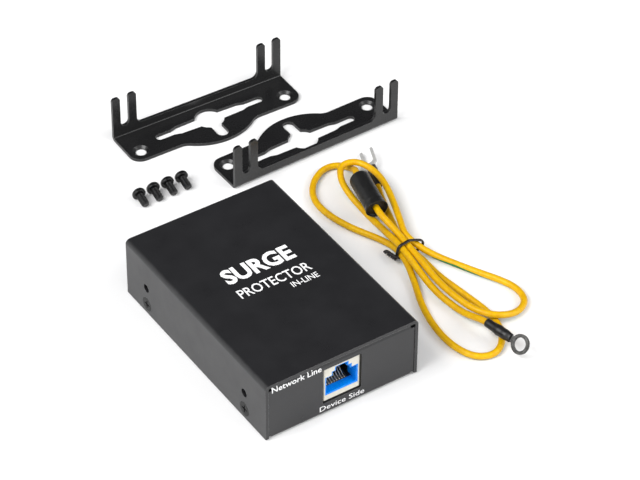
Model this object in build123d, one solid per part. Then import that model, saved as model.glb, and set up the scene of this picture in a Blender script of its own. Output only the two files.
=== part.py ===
from build123d import *
import math
import os

# In-line surge protector for one network cable, with its mounting kit laid out beside it.
# Millimetres. +Z is up and Z = 0 is the bench. The origin is the centre of the box's underside.
# The equipment end of the box faces -Y, the line end faces +Y.

# ---- driving dimensions: box ----
BOX_W, BOX_L, BOX_H = 60.0, 87.5, 24.0
SHEET = 1.2                    # steel sheet of the tray, the cover and the brackets
GAP = 0.1                      # clearance between the tray and the cover
COVER_BEND = 1.8               # outer bend radius along the cover's long top edges
TRAY_BEND = 1.6                # outer bend radius of the tray
COVER_LIFT = 0.6               # the cover's sides stop this far above the bench
TRAY_SETBACK = 0.2             # the end plates sit this far inside the cover's edges
TOP_FLANGE = 6.0               # width of the flange at the top of each end plate
TAB_W, TAB_TOP = 14.0, 16.0    # screw tabs that stand up from the tray's long sides

# ---- driving dimensions: fasteners ----
HOLE_SPACING = 61.5            # along Y, common to the box's sides and the bracket forks
CASE_SCREW_Z = 4.5
BRACKET_HOLE_Z = 11.6
SCREW_R = 1.45                 # M3 thread, drawn plain
CLEARANCE_R = 1.6              # clearance hole for M3
NUT_BORE_R = 1.5
CASE_HEAD_R = 2.75
CLINCH_R, CLINCH_H = 2.6, 2.0
RECESS_W = 0.55                # width of one slot of a cross recess

# ---- driving dimensions: circuit board ----
BOARD_W, BOARD_L, BOARD_T = 48.0, 82.8, 1.6
BOARD_Z = 3.2                  # underside of the board
BOARD_TOP = BOARD_Z + BOARD_T
POST_X, POST_Y = 20.0, 32.0    # standoffs
BOARD_BORE_R = 1.3
FILM_W, FILM_L, FILM_T = 47.0, 82.0, 0.25      # insulating film on the tray's floor
FILM_HOLE_R = 2.7
STANDOFF_R = 2.5
BOARD_SCREW_R, BOARD_HEAD_R, BOARD_HEAD_H = 1.2, 2.2, 1.5

# ---- driving dimensions: protection parts on the board ----
PART_ROWS = (-15.0, -5.0, 5.0, 15.0)           # along Y
TUBE_X, TUBE_R, TUBE_L, DISC_T = -15.0, 2.5, 8.0, 1.0
DIODE_COLUMNS = (-4.5, 4.5)
DIODE_W, DIODE_L, DIODE_H = 4.4, 3.6, 2.3
FUSE_COLUMNS = (12.0, 18.5)
FUSE_W, FUSE_L, FUSE_H = 4.6, 3.2, 1.2

# ---- driving dimensions: eight-way modular jack ----
JACK_SETBACK = 0.6             # the jack's face is this far behind the box's end
NOSE_W, NOSE_H, NOSE_D = 14.0, 13.8, 0.8
NOSE_Z = 5.6
BODY_W, BODY_H, BODY_D = 15.6, 15.2, 18.0
MOUTH_W, MOUTH_Z, MOUTH_H = 11.9, 8.4, 6.9
STEP_W, STEP_TOP = 6.9, 16.9
LATCH_W, LATCH_TOP = 4.4, 18.5
INSERT_WALL, INSERT_D = 0.48, 5.4
CAVITY_D = 16.0
CONTACTS, CONTACT_PITCH = 8, 1.02
CONTACT_T, CONTACT_ROOT_R = 0.38, 0.3
CONTACT_Y, CONTACT_RISE = 6.0, 2.85    # pivot depth behind the face, rise to the free end
CONTACT_RUN = 7.1
CONTACT_PIVOT_Z = MOUTH_Z + 0.5
CUTOUT_W, CUTOUT_H = 15.2, 14.9
LOCATING_X, LOCATING_Y, LOCATING_R = 5.7, 8.5, 1.2     # the two posts under the jack
PIN_R, PIN_ROWS = 0.3, (11.5, 14.0)                    # solder pins and their depths behind the face
RIB_T, RIB_H, RIB_FOOT = 0.34, 5.0, 1.3                # ribs between the contacts

# ---- driving dimensions: ground screw on the line end ----
GROUND_X, GROUND_Z = 20.0, 13.0
GROUND_HEAD_R, GROUND_HEAD_H = 2.9, 2.1
GROUND_SHANK_L = 8.0
WASHER_R, WASHER_T, WASHER_TEETH = 3.2, 0.5, 12
STRAP_W, STRAP_T, STRAP_RISE = 6.0, 0.8, 4.0   # the strap reaches this far above the ground screw
GROUND_HOLE_R = 1.7
NUT_FLAT, NUT_H = 2.75, 2.4

# ---- driving dimensions: mounting bracket ----
FORK_SLOT_U = 4.95             # from the end of the bracket to the fork slot's centre
BRACKET_L = HOLE_SPACING + 2 * FORK_SLOT_U
BRACKET_BASE = 17.2
BRACKET_H = 18.7
BRACKET_BEND = 1.7
STRIP_H = 4.3                  # height of the flange between the forks
PRONG_W, SLOT_W = 3.2, 3.5
PRONG_TIP_R = 1.2
SLOT_BOTTOM = 5.4
BULGE_PEAK, BULGE_R, BULGE_FILLET = 22.9, 21.75, 6.0
BASE_CORNER_R = 4.5
BASE_HOLE_U, BASE_HOLE_V = 5.0, 12.3
BASE_HOLE_R, BASE_SINK_R, BASE_SINK_D = 2.0, 3.0, 0.8
SLOT_V = 9.2                   # centre line of the long cutout
SLOT_HALF, SLOT_END_R = 22.6, 1.6
SLOT_WAIST, SLOT_STEP_IN, SLOT_STEP_OUT = 2.8, 13.0, 15.5
KEY_R = 5.5                    # round middle of the cutout
STEM_R, STEM_TOP = 2.2, 20.8   # stem of the keyhole, towards the bulge

# ---- driving dimensions: loose bracket screws, M3 x 5 pan head ----
PAN_R, PAN_H, PAN_SHANK = 2.5, 2.0, 5.0

# ---- driving dimensions: ground lead ----
WIRE_R, CORE_R = 1.2, 0.65
FERRITE_R, FERRITE_BORE_R, FERRITE_L = 3.4, 1.5, 15.0
SHRINK_T = 0.35
TERMINAL_T = 0.8
CORE_TAIL = 3.0                        # bare core inside each terminal's barrel
BARREL_START, BARREL_END, BARREL_R = 0.3, 4.6, 1.15
SLEEVE_BACK, SLEEVE_END, SLEEVE_R = -5.0, 6.2, 1.85
FORK_GAP, FORK_PRONG, FORK_REACH = 3.2, 1.05, 8.4
RING_R, RING_HOLE_R, RING_NECK = 3.5, 2.35, 0.7
FORK_ROLL, RING_ROLL = -30.0, 54.0     # degrees about the lead's own axis
TIE_R, TIE_TAIL_R = 0.45, 0.42
TIE_TAIL_L, TIE_TAIL_DROP, TIE_TURNS = 7.0, 1.4, 3.0

# ---- where the kit lies on the bench ----
REAR_BRACKET_AT = (8.7, 119.4)      # left end of the fold; the base points to -Y
REAR_BRACKET_YAW = -1.25            # degrees, about that end
FRONT_BRACKET_AT = (30.75, 70.55)   # left end of the fold; the base points to +Y
FRONT_BRACKET_YAW = 1.0
LOOSE_SCREW_AT = (-0.8, 84.2)
LOOSE_SCREW_STEP = 5.9
LOOSE_SCREW_YAW = 4.0

# Route of the ground lead, from the fork terminal to the ring terminal. Each list is one stretch.
FORK_STRETCH = [(75.2, 46.9, 1.9), (74.0, 44.1, 1.9), (72.7, 41.2, 1.9), (70.2, 34.5, 1.4),
                (67.9, 27.4, 1.25), (65.8, 21.0, 1.25), (63.9, 14.5, 1.4)]
LOWER_LOOP = [(63.0, 7.0, 2.2), (63.8, 0.0, 1.5), (63.9, -8.0, 1.25), (64.8, -16.0, 1.25),
              (65.9, -24.0, 1.25), (66.8, -32.0, 1.25), (66.5, -38.5, 1.25), (64.6, -44.0, 1.25),
              (61.0, -48.9, 1.25), (56.0, -51.2, 1.25), (51.2, -49.4, 1.25), (48.2, -44.4, 1.25),
              (47.0, -36.0, 1.25), (48.2, -25.5, 1.25), (51.0, -16.0, 1.25), (54.5, -7.5, 1.4),
              (58.8, 7.0, 2.2)]
LEFT_LOOP = [(59.2, 13.0, 1.4), (57.4, 19.2, 1.25), (54.3, 26.0, 1.25), (51.4, 34.0, 1.25),
             (50.0, 42.0, 1.25), (50.6, 49.0, 1.25), (54.0, 55.4, 1.25), (59.4, 60.0, 1.25),
             (65.0, 61.6, 1.25), (69.3, 59.6, 1.3), (71.0, 55.6, 2.0), (69.8, 51.8, 4.5), (67.8, 48.3, 6.6)]
FERRITE_STRETCH = [(66.7, 45.0, 7.0), (64.7, 36.9, 7.0), (62.7, 28.8, 7.0)]
RIGHT_LOOP = [(61.9, 24.0, 6.8), (62.1, 17.5, 5.8), (61.7, 7.0, 4.9), (60.9, -3.0, 4.5),
              (60.3, -11.0, 4.0), (60.2, -18.0, 3.9), (60.9, -25.5, 3.9), (62.4, -32.0, 3.9),
              (66.0, -37.6, 3.9), (70.8, -39.3, 2.9), (76.0, -38.6, 1.7), (80.8, -35.2, 1.25),
              (82.3, -29.5, 1.25), (80.2, -22.0, 1.25), (76.0, -14.0, 1.25), (72.0, -6.0, 1.3),
              (68.3, 1.6, 1.75), (65.5, 7.0, 3.4)]
RIGHT_UPPER_LOOP = [(64.6, 12.4, 4.5), (66.6, 18.2, 4.4), (69.6, 25.6, 4.4), (72.4, 33.6, 4.8),
                    (74.2, 40.5, 5.1), (74.7, 46.0, 5.15), (73.9, 51.2, 5.2), (71.2, 55.2, 5.2),
                    (67.4, 56.0, 4.9), (64.2, 53.0, 4.4), (62.0, 46.6, 3.4), (61.7, 40.7, 2.2),
                    (61.8, 34.2, 1.35), (61.7, 29.4, 1.25), (61.6, 25.0, 1.4), (60.0, 17.0, 3.8)]
RING_STRETCH = [(59.1, 7.0, 4.8), (58.4, 0.0, 4.4), (57.8, -8.0, 3.2), (57.7, -16.0, 2.2),
                (58.5, -24.0, 1.8), (59.5, -31.0, 2.4), (60.5, -37.0, 4.2), (61.3, -40.9, 4.75),
                (61.7, -43.05, 4.75), (62.1, -45.2, 4.75)]
UPPER_STRETCHES = LEFT_LOOP + FERRITE_STRETCH + RIGHT_LOOP + RIGHT_UPPER_LOOP
LEAD_ROUTE = FORK_STRETCH + LOWER_LOOP + UPPER_STRETCHES + RING_STRETCH
TIE_CENTRE = (62.15, 7.0, 3.6)
# Outermost strands of the bundle at the tie, seen along them and measured from the tie's centre.
TIE_CORNERS = [(-3.35, -1.4), (1.1, -1.4), (3.9, -0.15), (-0.35, 1.5), (-3.05, 1.2)]

# ---- values that follow from the driving dimensions ----
TRAY_W = BOX_W - 2 * (SHEET + GAP)
TRAY_L = BOX_L - 2 * TRAY_SETBACK
TRAY_H = BOX_H - SHEET - GAP
PLATE_INNER_Y = TRAY_L / 2 - SHEET
TAB_INNER_X = TRAY_W / 2 - SHEET
FACE_Y = -BOX_L / 2 + JACK_SETBACK
TIE_OFFSET = WIRE_R + TIE_R + 0.06
TIE_COIL_R = TIE_TAIL_R + 0.07
SIDES = (-1, 1)
ON_BASE = (Align.CENTER, Align.CENTER, Align.MIN)


# ---- small helpers ----
def block(x0, x1, y0, y1, z0, z1):
    centre = Pos((x0 + x1) / 2, (y0 + y1) / 2, (z0 + z1) / 2)
    return centre * Box(x1 - x0, y1 - y0, z1 - z0)


def along(origin, direction, shape):
    """A shape built from the origin along +Z, moved to start at origin and run along direction."""
    return Plane(origin=origin, z_dir=direction) * shape


def rod(origin, direction, radius, length):
    return along(origin, direction, Cylinder(radius, length, align=ON_BASE))


def cone(origin, direction, start_r, end_r, length):
    return along(origin, direction, Cone(start_r, end_r, length, align=ON_BASE))


def cross_recess(origin, direction, reach, depth):
    """Two crossed slots, sunk from origin along direction."""
    slots = Box(2 * reach, RECESS_W, depth, align=ON_BASE) + Box(RECESS_W, 2 * reach, depth, align=ON_BASE)
    return along(origin, direction, slots)


def turn_to_line_end(shape):
    return Rot(0, 0, 180) * shape


def arc_route(curve, stretches):
    """The curve redrawn as circular arcs that meet tangentially, two to a stretch."""
    edges = []
    for i in range(stretches):
        start, end = curve @ (i / stretches), curve @ ((i + 1) / stretches)
        leave = (curve % (i / stretches)).normalized()
        arrive = (curve % ((i + 1) / stretches)).normalized()
        chord, both = end - start, leave + arrive
        bend = 2 * (1 - leave.dot(arrive))
        along_both = chord.dot(both)
        reach = (math.sqrt(along_both ** 2 + bend * chord.dot(chord)) - along_both) / max(bend, 1e-9)
        corner_a, corner_b = start + leave * reach, end - arrive * reach
        middle = (corner_a + corner_b) * 0.5
        edges.append(Edge.make_tangent_arc(start, leave, middle))
        edges.append(Edge.make_tangent_arc(middle, (corner_b - corner_a).normalized(), end))
    return Wire(edges)


def tube(route, radius, bore=0.0):
    """A round tube or rod that follows a smooth route."""
    start = Plane(origin=route @ 0, z_dir=route % 0)
    outside = sweep(start * Circle(radius), path=route)
    return outside - sweep(start * Circle(bore), path=route) if bore else outside


def pan_screw(head_r, head_h, shank_l):
    """Pan-head screw along +Z: the shank starts at Z = 0 and the head is below it."""
    rim = 0.45 * head_h
    head = Pos(0, 0, -rim / 2) * Cylinder(head_r, rim)
    crown = cone((0, 0, -rim), (0, 0, -1), head_r, 0.62 * head_r, head_h - rim)
    shank = rod((0, 0, 0), (0, 0, 1), SCREW_R, shank_l)
    tip = shank.edges().group_by(Axis.Z)[-1]
    shank = chamfer(tip, 0.4)
    recess = cross_recess((0, 0, -head_h), (0, 0, 1), 0.55 * head_r, 0.55 * head_h)
    return head + crown + shank - recess


# ---- box: tray and cover ----
def make_base_tray():
    outline = Pos(0, TRAY_H / 2) * RectangleRounded(TRAY_L, TRAY_H, TRAY_BEND)
    hollow = Pos(0, TRAY_H / 2) * RectangleRounded(TRAY_L - 2 * SHEET, TRAY_H - 2 * SHEET, TRAY_BEND - SHEET)
    top_gap = Pos(0, TRAY_H) * Rectangle(TRAY_L - 2 * TOP_FLANGE, 4 * SHEET)
    tray = extrude(Plane.YZ * (outline - hollow - top_gap), TRAY_W / 2, both=True)
    corner = 1.5
    for side in SIDES:
        inner, outer = sorted((side * TAB_INNER_X, side * TRAY_W / 2))
        notch_in, notch_out = sorted((side * (TRAY_W / 2 - corner), side * (TRAY_W / 2 + corner)))
        for end in SIDES:
            mid_y = end * HOLE_SPACING / 2
            tray += block(inner, outer, mid_y - TAB_W / 2, mid_y + TAB_W / 2, SHEET / 2, TAB_TOP)
            for level in (CASE_SCREW_Z, BRACKET_HOLE_Z):
                tray -= rod((side * (TAB_INNER_X - 1), mid_y, level), (side, 0, 0), CLINCH_R - 0.5, SHEET + 2)
            low_y = sorted((end * (TRAY_L / 2 - corner), end * (TRAY_L / 2 + corner)))
            top_y = sorted((end * (TRAY_L / 2 - TOP_FLANGE - 1), end * (TRAY_L / 2 + corner)))
            tray -= block(notch_in, notch_out, *low_y, -1, corner)
            tray -= block(notch_in, notch_out, *top_y, TRAY_H - corner, TRAY_H + 1)
    cutout_z = NOSE_Z + NOSE_H / 2
    tray -= Pos(0, 0, cutout_z) * Box(CUTOUT_W, 2 * BOX_L, CUTOUT_H)
    tray -= rod((GROUND_X, PLATE_INNER_Y - 1, GROUND_Z), (0, 1, 0), GROUND_HOLE_R, SHEET + 2)
    return tray


def make_top_cover():
    height = BOX_H - COVER_LIFT
    shell = Pos(0, COVER_LIFT + height / 2) * Rectangle(BOX_W, height)
    shell = fillet(shell.vertices().group_by(Axis.Y)[-1], COVER_BEND)
    hollow = Pos(0, (BOX_H - SHEET) / 2) * Rectangle(BOX_W - 2 * SHEET, BOX_H - SHEET)
    hollow = fillet(hollow.vertices().group_by(Axis.Y)[-1], COVER_BEND - SHEET)
    cover = extrude(Plane.XZ * (shell - hollow), BOX_L / 2, both=True)
    for side in SIDES:
        for end in SIDES:
            y = end * HOLE_SPACING / 2
            outer = side * BOX_W / 2
            cover -= rod((outer + side, y, BRACKET_HOLE_Z), (-side, 0, 0), CLEARANCE_R, 4)
            cover -= rod((outer + side, y, CASE_SCREW_Z), (-side, 0, 0), CLEARANCE_R, 4)
            cover -= cone((outer, y, CASE_SCREW_Z), (-side, 0, 0), CASE_HEAD_R + 0.05, CLEARANCE_R, SHEET)
    return cover


def make_case_screws():
    screws = []
    for side in SIDES:
        for end in SIDES:
            face = (side * BOX_W / 2, end * HOLE_SPACING / 2, CASE_SCREW_Z)
            inward = (-side, 0, 0)
            screw = cone(face, inward, CASE_HEAD_R, SCREW_R, SHEET) + rod(face, inward, SCREW_R, 5.0)
            screws.append(screw - cross_recess(face, inward, 1.5, 0.9))
    return screws


def make_clinch_nuts(level, bore):
    nuts = []
    for side in SIDES:
        for end in SIDES:
            face = (side * TAB_INNER_X, end * HOLE_SPACING / 2, level)
            nut = rod(face, (-side, 0, 0), CLINCH_R, CLINCH_H)
            nut += rod(face, (side, 0, 0), CLINCH_R - 0.52, SHEET)
            nuts.append(nut - rod((face[0] + 3 * side, face[1], level), (-side, 0, 0), bore, 8))
    return nuts


# ---- circuit board and what it carries ----
def posts():
    return [(x * POST_X, y * POST_Y) for x in SIDES for y in SIDES]


def pin_places():
    """Solder pins of the equipment jack, in two staggered rows: x, depth behind the jack's face."""
    places = []
    for i in range(CONTACTS):
        places.append(((i - (CONTACTS - 1) / 2) * CONTACT_PITCH, PIN_ROWS[i % 2]))
    return places


def make_circuit_board():
    board = block(-BOARD_W / 2, BOARD_W / 2, -BOARD_L / 2, BOARD_L / 2, BOARD_Z, BOARD_TOP)
    for x, y in posts():
        board -= rod((x, y, BOARD_Z - 1), (0, 0, 1), BOARD_BORE_R, 4)
    drilled = [(x, FACE_Y + depth, PIN_R + 0.1) for x, depth in pin_places()]
    drilled += [(side * LOCATING_X, FACE_Y + LOCATING_Y, LOCATING_R + 0.1) for side in SIDES]
    for x, y, radius in drilled:
        board -= rod((x, y, BOARD_Z - 1), (0, 0, 1), radius, 4)
        board -= rod((-x, -y, BOARD_Z - 1), (0, 0, 1), radius, 4)
    return board


def make_insulating_film():
    film = block(-FILM_W / 2, FILM_W / 2, -FILM_L / 2, FILM_L / 2, SHEET, SHEET + FILM_T)
    for x, y in posts():
        film -= rod((x, y, 0), (0, 0, 1), FILM_HOLE_R, 3)
    return film


def make_board_standoffs():
    standoffs = []
    for x, y in posts():
        spacer = rod((x, y, SHEET), (0, 0, 1), STANDOFF_R, BOARD_Z - SHEET)
        standoffs.append(spacer - rod((x, y, 0), (0, 0, 1), BOARD_BORE_R, 5))
    return standoffs


def make_board_screws():
    screws = []
    for x, y in posts():
        seat = BOARD_TOP + (STRAP_T if (x, y) == (POST_X, POST_Y) else 0)
        screw = rod((x, y, seat), (0, 0, 1), BOARD_HEAD_R, BOARD_HEAD_H)
        screw += rod((x, y, SHEET + 0.3), (0, 0, 1), BOARD_SCREW_R, seat - SHEET)
        screws.append(screw - cross_recess((x, y, seat + BOARD_HEAD_H), (0, 0, -1), 1.2, 0.8))
    return screws


def make_gas_tube_bodies():
    """Ceramic rings of the three-electrode gas discharge tubes: two rings per tube."""
    ring_l = (TUBE_L - 3 * DISC_T) / 2
    rings = []
    for y in PART_ROWS:
        for side in SIDES:
            start = (TUBE_X + side * DISC_T / 2, y, BOARD_TOP + TUBE_R)
            rings.append(rod(start, (side, 0, 0), TUBE_R - 0.15, ring_l))
    return rings


def make_gas_tube_electrodes():
    discs = []
    for y in PART_ROWS:
        for place in (-TUBE_L / 2, -DISC_T / 2, TUBE_L / 2 - DISC_T):
            discs.append(rod((TUBE_X + place, y, BOARD_TOP + TUBE_R), (1, 0, 0), TUBE_R, DISC_T))
    return discs


def make_transient_diodes():
    diodes = []
    for x in DIODE_COLUMNS:
        for y in PART_ROWS:
            body = Pos(x, y, BOARD_TOP) * Box(DIODE_W, DIODE_L, DIODE_H, align=ON_BASE)
            diodes.append(chamfer(body.edges().group_by(Axis.Z)[-1], 0.35))
    return diodes


def make_line_fuses():
    fuses = []
    for x in FUSE_COLUMNS:
        for y in PART_ROWS:
            fuses.append(Pos(x, y, BOARD_TOP) * Box(FUSE_W, FUSE_L, FUSE_H, align=ON_BASE))
    return fuses


def make_ground_strap():
    inner_y = PLATE_INNER_Y - STRAP_T
    x0, x1 = GROUND_X - STRAP_W / 2, GROUND_X + STRAP_W / 2
    strap = block(x0, x1, inner_y, PLATE_INNER_Y, BOARD_TOP, GROUND_Z + STRAP_RISE)
    strap += block(x0, x1, POST_Y - 3.5, PLATE_INNER_Y, BOARD_TOP, BOARD_TOP + STRAP_T)
    strap -= rod((POST_X, POST_Y, BOARD_TOP - 1), (0, 0, 1), BOARD_BORE_R, 4)
    strap -= rod((GROUND_X, inner_y - 1, GROUND_Z), (0, 1, 0), CLEARANCE_R, 4)
    return strap


# ---- ground screw on the line end plate ----
def make_ground_nut():
    start = (GROUND_X, PLATE_INNER_Y - STRAP_T, GROUND_Z)
    hexagon = along(start, (0, -1, 0), extrude(RegularPolygon(NUT_FLAT, 6, major_radius=False), NUT_H))
    return hexagon - rod((GROUND_X, PLATE_INNER_Y, GROUND_Z), (0, -1, 0), NUT_BORE_R, 5)


def make_ground_washer():
    start = (GROUND_X, TRAY_L / 2, GROUND_Z)
    washer = rod(start, (0, 1, 0), WASHER_R, WASHER_T)
    for i in range(WASHER_TEETH):
        angle = 2 * math.pi * i / WASHER_TEETH
        x = GROUND_X + WASHER_R * math.cos(angle)
        z = GROUND_Z + WASHER_R * math.sin(angle)
        washer -= rod((x, TRAY_L / 2 - 1, z), (0, 1, 0), 0.35, 3)
    return washer - rod((GROUND_X, TRAY_L / 2 - 1, GROUND_Z), (0, 1, 0), NUT_BORE_R + 0.05, 3)


def make_ground_screw():
    seat = (GROUND_X, TRAY_L / 2 + WASHER_T, GROUND_Z)
    return along(seat, (0, -1, 0), pan_screw(GROUND_HEAD_R, GROUND_HEAD_H, GROUND_SHANK_L))


# ---- modular jack, drawn at the equipment end ----
def stepped_mouth(margin, depth0, depth1):
    """The jack's stepped opening as a solid between two depths, with each side moved out by margin."""
    rows = ((MOUTH_W, MOUTH_Z + MOUTH_H), (STEP_W, STEP_TOP), (LATCH_W, LATCH_TOP))
    solid = None
    for width, top in rows:
        half = width / 2 + margin
        row = block(-half, half, FACE_Y + depth0, FACE_Y + depth1, MOUTH_Z - margin, top + margin)
        solid = row if solid is None else solid + row
    return solid


def make_jack_housing():
    nose = block(-NOSE_W / 2, NOSE_W / 2, FACE_Y, FACE_Y + NOSE_D, NOSE_Z, NOSE_Z + NOSE_H)
    nose = chamfer(nose.edges().group_by(Axis.Y)[0], 0.2)
    back = FACE_Y + NOSE_D + BODY_D
    body = block(-BODY_W / 2, BODY_W / 2, FACE_Y + NOSE_D, back, BOARD_TOP, BOARD_TOP + BODY_H)
    housing = nose + body - stepped_mouth(INSERT_WALL + 0.02, -1, CAVITY_D)
    for side in SIDES:
        place = (side * LOCATING_X, FACE_Y + LOCATING_Y, BOARD_TOP)
        housing += rod(place, (0, 0, -1), LOCATING_R, BOARD_T)
    return housing


def make_jack_insert():
    shell = stepped_mouth(INSERT_WALL, 0.05, INSERT_D) - stepped_mouth(0, -1, INSERT_D + 1)
    lip = 0.25
    return shell - stepped_mouth(lip, -1, lip)


def make_jack_comb():
    """Black carrier behind the insert, with a rib on each side of every contact."""
    start, end = INSERT_D + 0.05, CAVITY_D - 0.05
    carrier = stepped_mouth(INSERT_WALL, start, end) - stepped_mouth(0, start - 1, end - 1.0)
    rib_top = MOUTH_Z + RIB_H
    tilt = math.degrees(math.atan2(CONTACT_RISE, CONTACT_RUN))
    for i in range(CONTACTS + 1):
        x = (i - CONTACTS / 2) * CONTACT_PITCH
        rib = block(x - RIB_T / 2, x + RIB_T / 2, FACE_Y + start, FACE_Y + end, MOUTH_Z - 0.2, rib_top)
        above = Box(3 * RIB_T, 2 * BODY_D, BODY_H, align=ON_BASE)
        carrier += rib - Pos(x, FACE_Y + start, MOUTH_Z + RIB_FOOT) * Rot(tilt, 0, 0) * above
    return carrier


def make_jack_contacts():
    """Eight spring wires. Each turns on a small round root and rises towards the back."""
    length = math.hypot(CONTACT_RUN, CONTACT_RISE)
    rise = (0, CONTACT_RUN / length, CONTACT_RISE / length)
    wires = []
    for i in range(CONTACTS):
        x = (i - (CONTACTS - 1) / 2) * CONTACT_PITCH
        pivot = (x, FACE_Y + CONTACT_Y, CONTACT_PIVOT_Z)
        root = rod((x - CONTACT_T / 2, pivot[1], pivot[2]), (1, 0, 0), CONTACT_ROOT_R, CONTACT_T)
        wire = Box(CONTACT_T, CONTACT_T, length, align=ON_BASE)
        wires.append(root + along(pivot, rise, wire))
    return wires


def make_jack_pins():
    pins = []
    for x, depth in pin_places():
        pins.append(rod((x, FACE_Y + depth, BOARD_TOP), (0, 0, -1), PIN_R, BOARD_T + 0.8))
    return pins


# ---- mounting bracket ----
def bracket_base_outline():
    middle = BRACKET_L / 2
    plate = Pos(middle, BRACKET_BASE / 2) * Rectangle(BRACKET_L, BRACKET_BASE)
    far_corners = plate.vertices().group_by(Axis.Y)[-1]
    plate = fillet(far_corners, BASE_CORNER_R)
    disc = Pos(middle, BULGE_PEAK - BULGE_R) * Circle(BULGE_R)
    keep = Pos(middle, BULGE_PEAK / 2) * Rectangle(BRACKET_L, BULGE_PEAK)
    outline = plate + (disc & keep)
    reach = math.sqrt(BULGE_R ** 2 - (BRACKET_BASE - BULGE_PEAK + BULGE_R) ** 2)
    far = [v for v in outline.vertices() if v.Y > BRACKET_BASE - 0.5]
    corners = [v for v in far if abs(abs(v.X - middle) - reach) < 0.5]
    return fillet(corners, BULGE_FILLET)


def bracket_cutout():
    """Keyhole cutout: a long slot that widens to a round middle, with a stem towards the bulge."""
    middle = BRACKET_L / 2
    end = SLOT_HALF - SLOT_END_R
    half = [(-end, SLOT_END_R), (-SLOT_STEP_OUT, SLOT_END_R), (-SLOT_STEP_IN, 2.4), (0, SLOT_WAIST)]
    upper = half + [(-u, v) for u, v in reversed(half[:-1])]
    lower = [(u, -v) for u, v in reversed(upper)]
    cut = Pos(middle, SLOT_V) * make_face(Polyline(*upper, *lower, close=True))
    for side in SIDES:
        cut += Pos(middle + side * end, SLOT_V) * Circle(SLOT_END_R)
    cut += Pos(middle, SLOT_V) * Circle(KEY_R)
    stem_l = STEM_TOP - STEM_R - SLOT_V
    cut += Pos(middle, SLOT_V + stem_l / 2) * Rectangle(2 * STEM_R, stem_l)
    cut += Pos(middle, STEM_TOP - STEM_R) * Circle(STEM_R)
    return cut


def bracket_flange_outline():
    """Flange seen along +Y: a low strip with a two-pronged fork at each end."""
    inner = 2 * PRONG_W + SLOT_W
    flange = Pos(BRACKET_L / 2, STRIP_H / 2) * Rectangle(BRACKET_L, STRIP_H)
    root_r = 2.5
    for mirrored in (False, True):
        fork = Pos(inner / 2, BRACKET_H / 2) * Rectangle(inner, BRACKET_H)
        fork += Pos(inner + root_r / 2, STRIP_H + root_r / 2) * Rectangle(root_r, root_r)
        fork -= Pos(inner + root_r, STRIP_H + root_r) * Circle(root_r)
        slot_top = BRACKET_H + 1
        slot_mid = SLOT_BOTTOM + SLOT_W / 2
        fork -= Pos(FORK_SLOT_U, (slot_mid + slot_top) / 2) * Rectangle(SLOT_W, slot_top - slot_mid)
        fork -= Pos(FORK_SLOT_U, slot_mid) * Circle(SLOT_W / 2)
        tips = fork.vertices().group_by(Axis.Y)[-1]
        fork = fillet(tips, PRONG_TIP_R)
        flange += mirror(fork, Plane.YZ.offset(BRACKET_L / 2)) if mirrored else fork
    return flange


def make_bracket():
    """One bracket: fold along +X from the origin, base towards +Y, flange up."""
    length = BRACKET_L
    bend_out = Pos(BRACKET_BEND, BRACKET_BEND) * Circle(BRACKET_BEND)
    bend_in = Pos(BRACKET_BEND, BRACKET_BEND) * Circle(BRACKET_BEND - SHEET)
    quarter = Pos(BRACKET_BEND / 2, BRACKET_BEND / 2) * Rectangle(BRACKET_BEND, BRACKET_BEND)
    bend = extrude(Plane.YZ * ((bend_out & quarter) - bend_in), length)
    base = extrude(bracket_base_outline() - bracket_cutout(), SHEET)
    base -= block(-1, length + 1, -1, BRACKET_BEND, -1, SHEET + 1)
    front = Plane(origin=(0, 0, 0), x_dir=(1, 0, 0), z_dir=(0, -1, 0))
    flange = extrude(front * bracket_flange_outline(), -SHEET)
    flange -= block(-1, length + 1, -1, SHEET + 1, -1, BRACKET_BEND)
    bracket = base + bend + flange
    for u in (BASE_HOLE_U, length - BASE_HOLE_U):
        bracket -= rod((u, BASE_HOLE_V, -1), (0, 0, 1), BASE_HOLE_R, 4)
        bracket -= cone((u, BASE_HOLE_V, SHEET), (0, 0, -1), BASE_SINK_R, BASE_HOLE_R, BASE_SINK_D)
    return bracket


def make_bracket_screws():
    """Four loose screws on their sides: each rests on its head's rim and its shank's tip."""
    tilt = math.asin((PAN_R - SCREW_R) / PAN_SHANK)
    yaw = math.radians(LOOSE_SCREW_YAW)
    axis = (-math.sin(yaw) * math.cos(tilt), -math.cos(yaw) * math.cos(tilt), -math.sin(tilt))
    screws = []
    for i in range(4):
        seat = (LOOSE_SCREW_AT[0] + i * LOOSE_SCREW_STEP, LOOSE_SCREW_AT[1], PAN_R * math.cos(tilt) + 0.02)
        screws.append(along(seat, axis, pan_screw(PAN_R, PAN_H, PAN_SHANK)))
    return screws


# ---- ground lead ----
def lead_route():
    return arc_route(Spline(*LEAD_ROUTE), 60)


def make_wire_insulation(route):
    return tube(route, WIRE_R, CORE_R + 0.03)


def make_wire_core(route):
    """Copper core: it follows the insulation, then runs on straight into each terminal's barrel."""
    core = tube(route, CORE_R)
    core += rod(route @ 0, -(route % 0), CORE_R, CORE_TAIL)
    core += rod(route @ 1, route % 1, CORE_R, CORE_TAIL)
    return core


def ferrite_axis():
    top, bottom = Vector(FERRITE_STRETCH[0]), Vector(FERRITE_STRETCH[-1])
    return top, (bottom - top).normalized(), (bottom - top).length


def make_ferrite_core():
    top, down, length = ferrite_axis()
    start = top + down * (length - FERRITE_L) / 2
    return rod(start, down, FERRITE_R, FERRITE_L) - rod(start - down, down, FERRITE_BORE_R, FERRITE_L + 2)


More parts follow.
